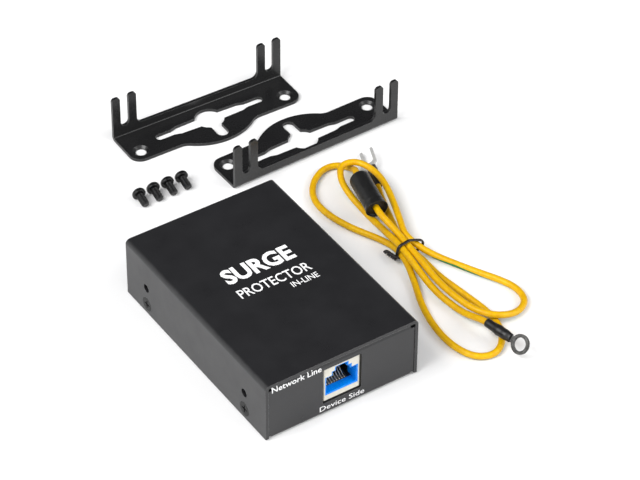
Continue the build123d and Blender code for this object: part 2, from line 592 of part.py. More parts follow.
def make_ferrite_sleeve():
    """Heat-shrink over the ferrite. It closes in at the top and ends below in a lip round a web."""
    top, down, length = ferrite_axis()
    start = top + down * (length - FERRITE_L) / 2
    inside = FERRITE_R + 0.05
    outside = inside + SHRINK_T
    end = FERRITE_L + 2.6
    shoulder = -1.0
    flare, hole, web = 0.2, 2.2, 1.0
    web_hole = WIRE_R + 0.5
    outer = [(hole, shoulder), (outside - 1.2, shoulder), (outside, shoulder + 1.2), (outside, FERRITE_L),
             (outside + flare, end)]
    mouth = [(inside + flare, end), (inside, end - web), (web_hole, end - web), (web_hole, end - 2 * web)]
    inner = mouth + [(inside, end - 2 * web), (inside, -0.1), (hole, -0.1)]
    profile = make_face(Plane.XZ * Polyline(*outer, *inner, close=True))
    return along(start, down, revolve(profile, Axis.Z))


def terminal_frame(point, direction):
    """Plane whose local X runs along the terminal and whose local Z is up."""
    flat = Vector(direction.X, direction.Y, 0).normalized()
    return Plane(origin=(point.X, point.Y, point.Z), x_dir=flat, z_dir=(0, 0, 1))


def terminal_barrel():
    """Crimp barrel along local X, with a flat tongue that leaves it."""
    barrel = rod((BARREL_START, 0, 0), (1, 0, 0), BARREL_R, BARREL_END - BARREL_START)
    bore = rod((0, 0, 0), (1, 0, 0), CORE_R + 0.1, CORE_TAIL + 0.05)
    tongue = block(BARREL_END - 0.6, SLEEVE_END + 1.2, -1.0, 1.0, -TERMINAL_T / 2, TERMINAL_T / 2)
    return barrel - bore + tongue


def make_fork_terminal(frame):
    """Fork rolled about its own axis, with one prong near the bench."""
    root = SLEEVE_END + 1.0
    outer = FORK_GAP / 2 + FORK_PRONG
    shoulder = outer * 0.72
    yoke = Pos(root + shoulder, 0) * Circle(outer)
    prongs = Pos(root + (FORK_REACH + shoulder) / 2, 0) * Rectangle(FORK_REACH - shoulder, 2 * outer)
    prongs = fillet(prongs.vertices().group_by(Axis.X)[-1], FORK_PRONG * 0.48)
    throat = root + outer
    cut = Pos(throat, 0) * Circle(FORK_GAP / 2)
    cut += Pos(throat + FORK_REACH / 2, 0) * Rectangle(FORK_REACH, FORK_GAP)
    fork = extrude(yoke + prongs - cut, TERMINAL_T / 2, both=True)
    return frame * (Rot(FORK_ROLL, 0, 0) * (terminal_barrel() + fork))


def make_ring_terminal(frame):
    """Ring rolled about its own axis, so that it leans instead of lying flat."""
    centre = SLEEVE_END + RING_R + RING_NECK
    ring = extrude(Pos(centre, 0) * (Circle(RING_R) - Circle(RING_HOLE_R)), TERMINAL_T / 2, both=True)
    tongue = block(SLEEVE_END, centre - RING_R + 0.6, -1.2, 1.2, -TERMINAL_T / 2, TERMINAL_T / 2)
    return frame * (Rot(RING_ROLL, 0, 0) * (terminal_barrel() + ring + tongue))


def make_terminal_sleeve(frame, roll=0.0):
    """Heat-shrink over a crimped terminal: round on the wire, swollen over the barrel, flat on the tongue."""
    start, end = SLEEVE_BACK, SLEEVE_END
    bore = WIRE_R + 0.25
    outer = [(bore, start), (SLEEVE_R - 0.2, start), (SLEEVE_R - 0.2, -1.0), (SLEEVE_R, 0.4),
             (SLEEVE_R, BARREL_END - 0.4), (SLEEVE_R - 0.3, BARREL_END + 0.5), (SLEEVE_R - 0.3, end)]
    inner = [(bore, end)]
    profile = make_face(Plane.XZ * Polyline(*outer, *inner, close=True))
    sleeve = revolve(profile, Axis.Z)
    return frame * (Rot(roll, 0, 0) * (Rot(0, 90, 0) * sleeve))


def make_twist_tie():
    """Coated wire looped once round the bundle, with its two ends twisted together."""
    x, y, z = TIE_CENTRE
    loop = offset(make_face(Polyline(*TIE_CORNERS, close=True)), TIE_OFFSET, kind=Kind.ARC)
    plane = Plane(origin=TIE_CENTRE, x_dir=(1, -0.05, 0), z_dir=(-0.05, -1, 0))
    ring = tube((plane * loop).wire(), TIE_R)
    loop_side = x + TIE_CORNERS[0][0] - TIE_OFFSET - TIE_R
    start = Vector(loop_side - TIE_COIL_R - TIE_TAIL_R - 0.05, y - 1.6, z - 0.9)
    steps = 24
    strands = [ring]
    for phase in (0, math.pi):
        points = []
        for i in range(steps + 1):
            done = i / steps
            angle = phase + 2 * math.pi * TIE_TURNS * done
            across, above = TIE_COIL_R * math.cos(angle), TIE_COIL_R * math.sin(angle)
            points.append(start + Vector(across, TIE_TAIL_L * done, above - TIE_TAIL_DROP * done))
        strands.append(tube(arc_route(Spline(*points), 18), TIE_TAIL_R))
    return strands


# ---- write every node ----
def save(name, shapes):
    solids = shapes if isinstance(shapes, list) else [shapes]
    group = solids[0] if len(solids) == 1 else Compound(children=[Part() + s for s in solids])
    export_step(group, os.path.join("parts", name + ".step"))


def main():
    os.makedirs("parts", exist_ok=True)
    save("base_tray", make_base_tray())
    save("top_cover", make_top_cover())
    save("case_screws", make_case_screws())
    save("case_clinch_nuts", make_clinch_nuts(CASE_SCREW_Z, NUT_BORE_R))
    save("bracket_clinch_nuts", make_clinch_nuts(BRACKET_HOLE_Z, CLEARANCE_R))
    save("circuit_board", make_circuit_board())
    save("insulating_film", make_insulating_film())
    save("board_standoffs", make_board_standoffs())
    save("board_screws", make_board_screws())
    save("gas_tube_bodies", make_gas_tube_bodies())
    save("gas_tube_electrodes", make_gas_tube_electrodes())
    save("transient_diodes", make_transient_diodes())
    save("line_fuses", make_line_fuses())
    save("ground_strap", make_ground_strap())
    save("ground_nut", make_ground_nut())
    save("ground_washer", make_ground_washer())
    save("ground_screw", make_ground_screw())
    jack = {
        "jack_housing": [make_jack_housing()],
        "jack_insert": [make_jack_insert()],
        "jack_comb": [make_jack_comb()],
        "jack_contacts": make_jack_contacts(),
        "jack_pins": make_jack_pins(),
    }
    for name, solids in jack.items():
        save("equipment_" + name, solids)
        save("line_" + name, [turn_to_line_end(solid) for solid in solids])
    bracket = make_bracket()
    rear_x, rear_y = REAR_BRACKET_AT
    rear = Pos(BRACKET_L, 0, 0) * Rot(0, 0, 180) * bracket
    save("rear_bracket", Pos(rear_x, rear_y, 0) * Rot(0, 0, REAR_BRACKET_YAW) * rear)
    save("front_bracket", Pos(*FRONT_BRACKET_AT, 0) * Rot(0, 0, FRONT_BRACKET_YAW) * bracket)
    save("bracket_screws", make_bracket_screws())
    route = lead_route()
    save("wire_insulation", make_wire_insulation(route))
    save("wire_core", make_wire_core(route))
    save("ferrite_core", make_ferrite_core())
    save("ferrite_sleeve", make_ferrite_sleeve())
    fork_frame = terminal_frame(route @ 0, -(route % 0))
    ring_frame = terminal_frame(route @ 1, route % 1)
    save("fork_terminal", make_fork_terminal(fork_frame))
    save("fork_sleeve", make_terminal_sleeve(fork_frame))
    save("ring_terminal", make_ring_terminal(ring_frame))
    save("ring_sleeve", make_terminal_sleeve(ring_frame, RING_ROLL))
    save("twist_tie", make_twist_tie())


main()
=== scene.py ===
import bpy
import bmesh
import math
import numpy as np
from mathutils import Matrix, Vector, noise

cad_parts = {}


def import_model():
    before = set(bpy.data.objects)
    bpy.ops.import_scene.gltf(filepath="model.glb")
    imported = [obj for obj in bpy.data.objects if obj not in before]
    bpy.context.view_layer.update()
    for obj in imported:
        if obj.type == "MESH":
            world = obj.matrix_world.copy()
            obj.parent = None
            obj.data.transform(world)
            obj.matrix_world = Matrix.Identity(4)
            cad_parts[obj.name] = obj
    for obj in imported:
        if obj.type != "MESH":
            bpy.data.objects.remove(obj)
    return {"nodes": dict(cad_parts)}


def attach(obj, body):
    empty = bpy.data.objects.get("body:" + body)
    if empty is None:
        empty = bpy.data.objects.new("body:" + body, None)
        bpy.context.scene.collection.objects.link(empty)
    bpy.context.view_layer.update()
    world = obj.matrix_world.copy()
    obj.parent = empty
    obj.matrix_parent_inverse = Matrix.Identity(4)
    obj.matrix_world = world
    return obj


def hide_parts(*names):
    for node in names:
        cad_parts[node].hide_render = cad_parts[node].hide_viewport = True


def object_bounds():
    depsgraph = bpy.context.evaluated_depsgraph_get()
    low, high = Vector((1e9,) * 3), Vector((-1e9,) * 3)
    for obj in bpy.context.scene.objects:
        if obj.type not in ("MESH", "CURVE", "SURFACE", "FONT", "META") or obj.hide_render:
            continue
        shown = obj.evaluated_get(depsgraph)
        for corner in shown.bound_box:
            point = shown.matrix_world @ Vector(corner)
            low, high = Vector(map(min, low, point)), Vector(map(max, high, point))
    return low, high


# Looks for the in-line surge protector kit. Everything is in the row frame: metres, +Z up, box at the origin.
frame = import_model()
CAD_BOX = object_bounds()
NODES = frame["nodes"]
MM = 0.001


# ---------------------------------------------------------------- material builder
class Shader:
    """One node material. Textures use object coordinates in millimetres unless told otherwise."""

    def __init__(self, name):
        self.mat = bpy.data.materials.new(name)
        self.mat.use_nodes = True
        self.tree = self.mat.node_tree
        self.tree.nodes.clear()
        self.out = self.tree.nodes.new("ShaderNodeOutputMaterial")
        self.bsdf = self.tree.nodes.new("ShaderNodeBsdfPrincipled")
        self.tree.links.new(self.bsdf.outputs[0], self.out.inputs["Surface"])
        coords = self.tree.nodes.new("ShaderNodeTexCoord")
        scale = self.tree.nodes.new("ShaderNodeMapping")
        scale.inputs["Scale"].default_value = (1000, 1000, 1000)
        self.tree.links.new(coords.outputs["Object"], scale.inputs["Vector"])
        self.uv = coords.outputs["UV"]
        self.mm = scale.outputs["Vector"]
        self.normal = None

    def add(self, kind, **values):
        node = self.tree.nodes.new(kind)
        for key, value in values.items():
            setattr(node, key, value)
        return node

    def put(self, socket, value):
        if isinstance(value, bpy.types.NodeSocket):
            self.tree.links.new(value, socket)
        elif isinstance(value, (tuple, list)) and len(value) == 3 and socket.type == "RGBA":
            socket.default_value = (*value, 1)
        else:
            socket.default_value = value

    def stretched(self, scale, vector=None):
        node = self.add("ShaderNodeMapping")
        node.inputs["Scale"].default_value = scale
        self.put(node.inputs["Vector"], vector or self.mm)
        return node.outputs["Vector"]

    def noise(self, scale, detail=3.0, rough=0.55, vector=None, distortion=0.0):
        node = self.add("ShaderNodeTexNoise")
        self.put(node.inputs["Vector"], vector or self.mm)
        node.inputs["Scale"].default_value = scale
        node.inputs["Detail"].default_value = detail
        node.inputs["Roughness"].default_value = rough
        node.inputs["Distortion"].default_value = distortion
        return node.outputs[0]

    def cells(self, scale):
        node = self.add("ShaderNodeTexVoronoi", feature="F1")
        self.put(node.inputs["Vector"], self.mm)
        node.inputs["Scale"].default_value = scale
        return node.outputs["Distance"]

    def ramp(self, value, low, high, a=0.0, b=1.0):
        node = self.add("ShaderNodeMapRange")
        self.put(node.inputs["Value"], value)
        for key, number in (("From Min", low), ("From Max", high), ("To Min", a), ("To Max", b)):
            node.inputs[key].default_value = number
        return node.outputs[0]

    def math(self, operation, a, b=0.0, c=0.0):
        node = self.add("ShaderNodeMath", operation=operation)
        self.put(node.inputs[0], a)
        self.put(node.inputs[1], b)
        self.put(node.inputs[2], c)
        return node.outputs[0]

    def mix(self, factor, a, b):
        node = self.add("ShaderNodeMix", data_type="RGBA")
        self.put(node.inputs["Factor"], factor)
        self.put(node.inputs[6], a)
        self.put(node.inputs[7], b)
        return node.outputs[2]

    def axis(self, which, vector=None):
        node = self.add("ShaderNodeSeparateXYZ")
        self.put(node.inputs[0], vector or self.mm)
        return node.outputs["XYZ".index(which)]

    def bump(self, height, depth_mm, strength=1.0):
        node = self.add("ShaderNodeBump")
        node.inputs["Strength"].default_value = strength
        node.inputs["Distance"].default_value = depth_mm * MM
        self.put(node.inputs["Height"], height)
        if self.normal is not None:
            self.put(node.inputs["Normal"], self.normal)
        self.normal = node.outputs[0]
        self.put(self.bsdf.inputs["Normal"], self.normal)

    def soft_edges(self, radius_mm):
        """Rounds the shading of sharp edges, and returns how near an edge a point is."""
        node = self.add("ShaderNodeBevel", samples=4)
        node.inputs["Radius"].default_value = radius_mm * MM
        self.normal = node.outputs[0]
        self.put(self.bsdf.inputs["Normal"], self.normal)
        flat = self.add("ShaderNodeNewGeometry").outputs["Normal"]
        dot = self.add("ShaderNodeVectorMath", operation="DOT_PRODUCT")
        self.put(dot.inputs[0], flat)
        self.put(dot.inputs[1], self.normal)
        return self.ramp(dot.outputs["Value"], 0.99, 0.86)

    def set(self, **values):
        for key, value in values.items():
            self.put(self.bsdf.inputs[key.replace("_", " ")], value)
        return self


def wear_and_edge_highlight(shader, colour, edge, grain_scale, wear_and_highlight_lift=0.012):
    """Colour with faint broad clouding and a paler line along the edges, partly worn and partly a painted
    highlight. The last argument lightens that line.
    """
    cloud = shader.ramp(shader.noise(0.06, 4), 0.35, 0.65)
    body = shader.mix(cloud, [c * 0.9 for c in colour], [c * 1.1 for c in colour])
    # Painted highlight mixed with worn edges: the line along the edges is lighter than the body colour.
    rubbed_and_highlit_edge = shader.math("MULTIPLY", edge, shader.ramp(shader.noise(grain_scale, 3), 0.42, 0.62, 0.15, 0.8))
    return shader.mix(rubbed_and_highlit_edge, body, [c * 2.3 + wear_and_highlight_lift for c in colour])


def powder_coat(name, colour, rough, edge_mm=0.2):
    """Fine satin powder coat: a pebbled skin, small shine differences, and a paler line along the edges that
    is mostly a painted highlight, with some worn paint.
    """
    s = Shader(name)
    edge = s.soft_edges(edge_mm)
    pebbles = s.cells(3.6)
    skin = s.noise(5.5, 3, 0.6)
    s.bump(s.math("ADD", pebbles, s.math("MULTIPLY", skin, 0.6)), 0.011, 0.35)
    s.bump(s.noise(0.9, 2), 0.02, 0.2)
    shine = s.math("ADD", s.ramp(s.noise(0.12, 3), 0.3, 0.7, rough - 0.04, rough + 0.05),
                   s.ramp(skin, 0.35, 0.65, -0.03, 0.03))
    # The edge line is lightened far here: a painted highlight along the edges of the case and brackets.
    s.set(Base_Color=wear_and_edge_highlight(s, colour, edge, 1.3, 0.2), Roughness=shine, Specular_IOR_Level=0.5)
    return s.mat


def black_oxide(name, colour=(0.007, 0.007, 0.0075), rough=0.27, gloss=0.5):
    """Blackened steel of a screw: slightly oily, with turning marks and paler edges, partly worn metal and
    partly a painted highlight.
    """
    s = Shader(name)
    edge = s.soft_edges(0.06)
    marks = s.noise(6.0, 4, 0.7)
    s.bump(marks, 0.006, 0.35)
    s.set(Base_Color=wear_and_edge_highlight(s, colour, edge, 3.0), Metallic=0.35, Specular_IOR_Level=gloss,
          Roughness=s.ramp(marks, 0.3, 0.7, rough - 0.08, rough + 0.12))
    return s.mat


def plated(name, colour, rough, stretch=(1, 1, 1), edge_mm=0.05, metal=1.0, rim=(1.25, 0.5), dull=0.78):
    """Plated metal with drawn streaks along one direction, dull patches, and painted light along the edges.
    rim holds the edges' brightness against the face's, and how strongly it shows: brighter paints a
    highlight, darker paints shade."""
    s = Shader(name)
    edge = s.soft_edges(edge_mm)
    streaks = s.noise(4.0, 4, 0.6, s.stretched(stretch))
    patches = s.ramp(s.noise(0.7, 3), 0.35, 0.7)
    tone = s.mix(patches, colour, [c * dull for c in colour])
    # Painted light along the edges: a painted highlight where the edge tone is brighter than the face,
    # painted shade where it is darker.
    tone = s.mix(s.math("MULTIPLY", edge, rim[1]), tone, [min(1, c * rim[0]) for c in colour])
    s.bump(streaks, 0.006, 0.4)
    s.set(Base_Color=tone, Metallic=metal,
          Roughness=s.ramp(streaks, 0.3, 0.7, rough - 0.07, rough + 0.12))
    return s.mat


def moulded(name, colour, rough, glow=0.0, edge_mm=0.08):
    """Moulded plastic: a fine spark-eroded grain, slight flow clouding, and softened edges with a painted
    highlight along them.
    """
    s = Shader(name)
    edge = s.soft_edges(edge_mm)
    flow = s.ramp(s.noise(0.35, 3, 0.5, None, 0.6), 0.3, 0.7)
    tone = s.mix(flow, [c * 0.94 for c in colour], [min(1, c * 1.06) for c in colour])
    # Painted highlight: the colour is lightened near the edges.
    tone = s.mix(s.math("MULTIPLY", edge, 0.35), tone, [min(1, c * 1.3 + 0.02) for c in colour])
    grains = s.noise(6.6, 2, 0.5)
    s.bump(grains, 0.004, 0.3)
    s.set(Base_Color=tone, Roughness=s.ramp(grains, 0.3, 0.7, rough - 0.04, rough + 0.06))
    if glow:
        s.set(Subsurface_Weight=glow, Subsurface_Radius=(0.6, 0.6, 0.6), Subsurface_Scale=0.0008)
    return s.mat


STRIPE_HALF = 0.105     # half the green stripe's width, in turns round the wire
YELLOW_CLOUDS = ((0.69, 0.405, 0.001), (0.78, 0.475, 0.0015))
YELLOW_SPECKLE = (0.60, 0.27, 0.001)
YELLOW_PAINTED_EDGE_SHADE = (0.46, 0.225, 0.001)
# Painted shade: the wire's yellow where it turns away towards its silhouette.
YELLOW_FLECK = (0.46, 0.17, 0.002)
GREEN_CLOUDS = ((0.010, 0.145, 0.048), (0.016, 0.20, 0.065))


def insulated_wire():
    """Yellow extruded insulation with one green stripe. U runs round the wire, V along it in millimetres."""
    s = Shader("wire_yellow_green")
    around = s.axis("X", s.uv)
    wobble = s.ramp(s.noise(0.05, 2, 0.5, s.stretched((0, 1, 0), s.uv)), 0.3, 0.7, -0.02, 0.02)
    away = s.math("ABSOLUTE", s.math("SUBTRACT", s.math("ADD", around, wobble), 0.5))
    edge_noise = s.ramp(s.noise(0.8, 3, 0.6, s.stretched((3, 1, 1), s.uv)), 0.2, 0.8, -0.012, 0.012)
    stripe = s.ramp(s.math("ADD", away, edge_noise), STRIPE_HALF + 0.007, STRIPE_HALF - 0.007)
    speckle = s.ramp(s.noise(0.6, 5, 0.75, s.stretched((7, 1, 1), s.uv)), 0.42, 0.66)
    long_cloud = s.ramp(s.noise(0.09, 3, 0.6, s.stretched((2, 1, 1), s.uv)), 0.35, 0.65)
    yellow = s.mix(long_cloud, *YELLOW_CLOUDS)
    yellow = s.mix(s.math("MULTIPLY", speckle, 0.7), yellow, YELLOW_SPECKLE)
    # Painted shade: the yellow darkens towards the wire's silhouette, by viewing angle.
    facing = s.add("ShaderNodeLayerWeight")
    facing.inputs["Blend"].default_value = 0.3
    yellow = s.mix(s.math("MULTIPLY", facing.outputs["Facing"], 0.75), yellow, YELLOW_PAINTED_EDGE_SHADE)
    flecks = s.ramp(s.noise(3.2, 2, 0.5), 0.66, 0.74)
    yellow = s.mix(s.math("MULTIPLY", flecks, 0.6), yellow, YELLOW_FLECK)
    green = s.mix(speckle, *GREEN_CLOUDS)
    s.bump(s.noise(0.9, 3, 0.6, s.stretched((12, 1, 1), s.uv)), 0.03, 0.3)
    s.bump(s.noise(5.0, 3, 0.6), 0.008, 0.3)
    s.set(Base_Color=s.mix(stripe, yellow, green),
          Roughness=s.ramp(speckle, 0, 1, 0.36, 0.5), Specular_IOR_Level=0.24)
    return s.mat


def shrink_tube(name, colour=(0.006, 0.006, 0.0062), rough=0.40):
    """Black heat-shrink: fine rings of shrinkage, a dry skin and faint scuffs."""
    s = Shader(name)
    rings = s.noise(0.9, 3, 0.6, s.stretched((2, 1.6, 1), s.uv))
    scuff = s.ramp(s.noise(1.6, 5, 0.7, s.stretched((1, 0.4, 1))), 0.56, 0.72)
    tone = s.mix(s.math("MULTIPLY", scuff, 0.4), colour, [c * 2.4 + 0.006 for c in colour])
    s.bump(rings, 0.05, 0.35)
    s.bump(s.noise(7.0, 3, 0.6), 0.012, 0.3)
    s.set(Base_Color=tone, Roughness=s.ramp(s.noise(0.5, 3), 0.3, 0.7, rough - 0.07, rough + 0.1),
          Specular_IOR_Level=0.45)
    return s.mat


def stranded_copper():
    """Bare copper strands: fine ridges that wind along the core."""
    s = Shader("copper_strands")
    ridges = s.add("ShaderNodeTexWave", wave_type="BANDS", bands_direction="DIAGONAL")
    s.put(ridges.inputs["Vector"], s.mm)
    ridges.inputs["Scale"].default_value = 1.4
    ridges.inputs["Distortion"].default_value = 1.2
    s.bump(ridges.outputs[1], 0.05, 0.6)
    tone = s.mix(s.ramp(s.noise(1.5, 3), 0.3, 0.7), (0.78, 0.35, 0.17), (0.55, 0.21, 0.09))
    s.set(Base_Color=tone, Metallic=1.0, Roughness=0.34)
    return s.mat


def sintered(name):
    """Pressed and fired ferrite: near-black, matt, with pores and a faint sparkle."""
    s = Shader(name)
    s.soft_edges(0.2)
    pores = s.cells(2.4)
    s.bump(s.ramp(pores, 0.0, 0.35), 0.03, 0.5)
    s.set(Base_Color=s.mix(s.ramp(s.noise(3.0, 4), 0.3, 0.7), (0.018, 0.018, 0.021), (0.045, 0.045, 0.05)),
          Roughness=s.ramp(pores, 0.1, 0.5, 0.75, 0.5))
    return s.mat


def solder_mask():
    """Green board: laminate weave under the mask, with darker copper tracks showing through."""
    s = Shader("board_green")
    edge = s.soft_edges(0.06)
    weave_x = s.add("ShaderNodeTexWave", wave_type="BANDS", bands_direction="X")
    weave_y = s.add("ShaderNodeTexWave", wave_type="BANDS", bands_direction="Y")
    for weave in (weave_x, weave_y):
        s.put(weave.inputs["Vector"], s.mm)
        weave.inputs["Scale"].default_value = 0.7
    cloth = s.math("MULTIPLY", weave_x.outputs[1], weave_y.outputs[1])
    tracks = s.add("ShaderNodeTexBrick", offset=0.5)
    s.put(tracks.inputs["Vector"], s.mm)
    tracks.inputs["Scale"].default_value = 0.35
    tracks.inputs["Mortar Size"].default_value = 0.12
    track = s.ramp(tracks.outputs["Fac"], 0.2, 0.6)
    tone = s.mix(track, (0.012, 0.13, 0.045), (0.02, 0.2, 0.07))
    tone = s.mix(s.math("MULTIPLY", cloth, 0.25), tone, (0.03, 0.24, 0.09))
    tone = s.mix(edge, tone, (0.35, 0.33, 0.16))
    s.bump(track, 0.03, 0.5)
    s.set(Base_Color=tone, Roughness=0.28, Coat_Weight=0.25)
    return s.mat


def clear_film():
    """Thin amber insulating film with faint rolling lines."""
    s = Shader("film_amber")
    lines = s.noise(1.2, 3, 0.6, s.stretched((0.15, 3, 1)))
    s.bump(lines, 0.02, 0.3)
    s.set(Base_Color=s.mix(s.ramp(lines, 0.35, 0.65), (0.55, 0.32, 0.07), (0.68, 0.43, 0.12)), Roughness=0.22)
    return s.mat


def glazed_ceramic():
    """Off-white glazed tube with a few darker specks."""
    s = Shader("ceramic_tube")
    s.soft_edges(0.1)
    speck = s.ramp(s.noise(4.0, 3), 0.6, 0.75)
    s.bump(s.noise(2.0, 3), 0.015, 0.4)
    s.set(Base_Color=s.mix(s.math("MULTIPLY", speck, 0.4), (0.76, 0.73, 0.66), (0.5, 0.46, 0.4)),
          Roughness=0.24, Coat_Weight=0.3)
    return s.mat


def screen_ink():
    """White screen-printed ink: not quite opaque, with a slightly ragged surface."""
    s = Shader("ink_white")
    mottle = s.ramp(s.noise(3.0, 4, 0.6), 0.3, 0.75)
    s.bump(mottle, 0.01, 0.3)
    s.set(Base_Color=s.mix(mottle, (0.82, 0.82, 0.82), (0.93, 0.93, 0.93)), Roughness=0.5)
    return s.mat


# ---------------------------------------------------------------- mesh helpers
def mesh_object(name, verts, faces, smooth=True, uvs=None):
    """Object from vertices in millimetres. uvs, if given, is one (u, v) per face corner, in face order."""
    mesh = bpy.data.meshes.new(name)
    mesh.from_pydata([(x * MM, y * MM, z * MM) for x, y, z in verts], [], faces)
    if uvs is not None:
        layer = mesh.uv_layers.new(name="UVMap")
        flat = [value for corner in uvs for value in corner]
        layer.data.foreach_set("uv", flat)
    mesh.polygons.foreach_set("use_smooth", [smooth] * len(mesh.polygons))
    mesh.update()
    obj = bpy.data.objects.new(name, mesh)
    bpy.context.scene.collection.objects.link(obj)
    return obj


def finish_piece(obj, material, body, nodes=()):
    """Gives obj its material and body. It takes the place of the CAD nodes, if any."""
    obj.data.materials.clear()
    obj.data.materials.append(material)
    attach(obj, body)
    if nodes:
        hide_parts(*nodes)


def spline_points(points, count):
    """Cubic spline through points, its parameter the chord length, sampled evenly along its length."""
    P = np.array(points, float)
    t = np.concatenate([[0], np.cumsum(np.linalg.norm(np.diff(P, axis=0), axis=1))])
    n = len(P)

    def end_slope(ts, ps):
        powers = np.vander(ts - ts[0], 4, increasing=True)
        return np.linalg.solve(powers, ps)[1]

    h = np.diff(t)
    A = np.zeros((n, n))
    B = np.zeros((n, 3))
    A[0, 0] = 1
    A[-1, -1] = 1
    B[0] = end_slope(t[:4], P[:4])
    B[-1] = end_slope(t[-1:-5:-1], P[-1:-5:-1])
    for i in range(1, n - 1):
        A[i, i - 1] = h[i]
        A[i, i] = 2 * (h[i - 1] + h[i])
        A[i, i + 1] = h[i - 1]
        B[i] = 3 * (h[i] * (P[i] - P[i - 1]) / h[i - 1] + h[i - 1] * (P[i + 1] - P[i]) / h[i])
    M = np.linalg.solve(A, B)
    fine = np.linspace(0, t[-1], count * 8)
    k = np.clip(np.searchsorted(t, fine, side="right") - 1, 0, n - 2)
    u = ((fine - t[k]) / h[k])[:, None]
    hk = h[k][:, None]
    Q = ((1 + 2 * u) * (1 - u) ** 2 * P[k] + u * (1 - u) ** 2 * hk * M[k]
         + u ** 2 * (3 - 2 * u) * P[k + 1] + u ** 2 * (u - 1) * hk * M[k + 1])
    s = np.concatenate([[0], np.cumsum(np.linalg.norm(np.diff(Q, axis=0), axis=1))])
    even = np.linspace(0, s[-1], count)
    return np.stack([np.interp(even, s, Q[:, i]) for i in range(3)], axis=1)


def sweep(name, path, radius, sides=24, down=(0, 0, -1), roll=None, closed=False):
    """Tube along path. radius(i, angle) gives the wall's distance from the centre line, in millimetres.
    Angle pi points along down, so that a stripe at U = 0.5 faces down unless roll(i) turns it."""
    path = np.array(path, float)
    n = len(path)
    if closed:
        tangent = np.roll(path, -1, axis=0) - np.roll(path, 1, axis=0)
    else:
        tangent = np.gradient(path, axis=0)
    tangent /= np.linalg.norm(tangent, axis=1)[:, None]
    down = np.array(down, float)
    verts, lengths = [], np.concatenate([[0], np.cumsum(np.linalg.norm(np.diff(path, axis=0), axis=1))])
    for i in range(n):
        d = down - tangent[i] * down.dot(tangent[i])
        d /= np.linalg.norm(d)
        e = np.cross(tangent[i], d)
        turn = roll(i) if roll else 0.0
        for j in range(sides):
            a = 2 * math.pi * j / sides
            r = radius(i, a)
            b = a - math.pi + turn
            verts.append(tuple(path[i] + r * (math.cos(b) * d + math.sin(b) * e)))
    faces, uvs = [], []
    rings = n if closed else n - 1
    for i in range(rings):
        i2 = (i + 1) % n
        v0 = lengths[i]
        v1 = lengths[i + 1] if i + 1 < n else lengths[i] + np.linalg.norm(path[0] - path[-1])
        for j in range(sides):
            j2 = (j + 1) % sides
            faces.append((i * sides + j, i * sides + j2, i2 * sides + j2, i2 * sides + j))
            u0, u1 = j / sides, (j + 1) / sides
            uvs += [(u0, v0), (u1, v0), (u1, v1), (u0, v1)]
    if not closed:
        for i, ring in ((0, range(sides - 1, -1, -1)), (n - 1, range(sides))):
            centre = len(verts)
            verts.append(tuple(path[i]))
            ring = [i * sides + j for j in ring]
            for a, b in zip(ring, ring[1:] + ring[:1]):
                faces.append((a, b, centre))
                uvs += [(0.0, lengths[i])] * 3
    obj = mesh_object(name, verts, faces, True, uvs)
    fix_normals(obj)
    return obj


def fix_normals(obj):
    work = bmesh.new()
    work.from_mesh(obj.data)
    bmesh.ops.recalc_face_normals(work, faces=work.faces)
    work.to_mesh(obj.data)
    work.free()


def loft(name, rings, ends):
    """Skin over rings of equal length, in millimetres. ends is "capped", or "joined" for a wall that turns
    back on itself, whose last ring meets its first."""
    sides = len(rings[0])
    verts = [tuple(p) for ring in rings for p in ring]
    faces, uvs = [], []
    run = 0.0
    for i in range(len(rings) - 1):
        step = float(np.linalg.norm(np.mean(rings[i + 1], axis=0) - np.mean(rings[i], axis=0)))
        step = max(step, 0.05)
        for j in range(sides):
            j2 = (j + 1) % sides
            faces.append((i * sides + j, i * sides + j2, (i + 1) * sides + j2, (i + 1) * sides + j))
            u0, u1 = j / sides, (j + 1) / sides
            uvs += [(u0, run), (u1, run), (u1, run + step), (u0, run + step)]
        run += step
    last = (len(rings) - 1) * sides
    if ends == "capped":
        faces += [tuple(range(sides - 1, -1, -1)), tuple(range(last, last + sides))]
        uvs += [(0, 0)] * sides + [(0, run)] * sides
    if ends == "joined":
        for j in range(sides):
            j2 = (j + 1) % sides
            faces.append((last + j, last + j2, j2, j))
            uvs += [(0, run)] * 4
    obj = mesh_object(name, verts, faces, True, uvs)
    fix_normals(obj)
    return obj


def unit(v):
    return np.array(v, float) / np.linalg.norm(v)


def joined(name, parts):
    """Joins the objects into the first one, under a new name."""
    bpy.ops.object.select_all(action="DESELECT")
    for part in parts:
        part.select_set(True)
    bpy.context.view_layer.objects.active = parts[0]
    bpy.ops.object.join()
    parts[0].name = name
    return parts[0]


# ---------------------------------------------------------------- materials
STEEL_BLACK = powder_coat("coat_case", (0.0125, 0.0125, 0.0138), 0.33)
BRACKET_BLACK = powder_coat("coat_bracket", (0.0075, 0.0075, 0.0079), 0.27, 0.12)
SCREW_BLACK = black_oxide("oxide_screw")
CASE_SCREW = black_oxide("oxide_case_screw", (0.004, 0.004, 0.0042), 0.3, 0.16)
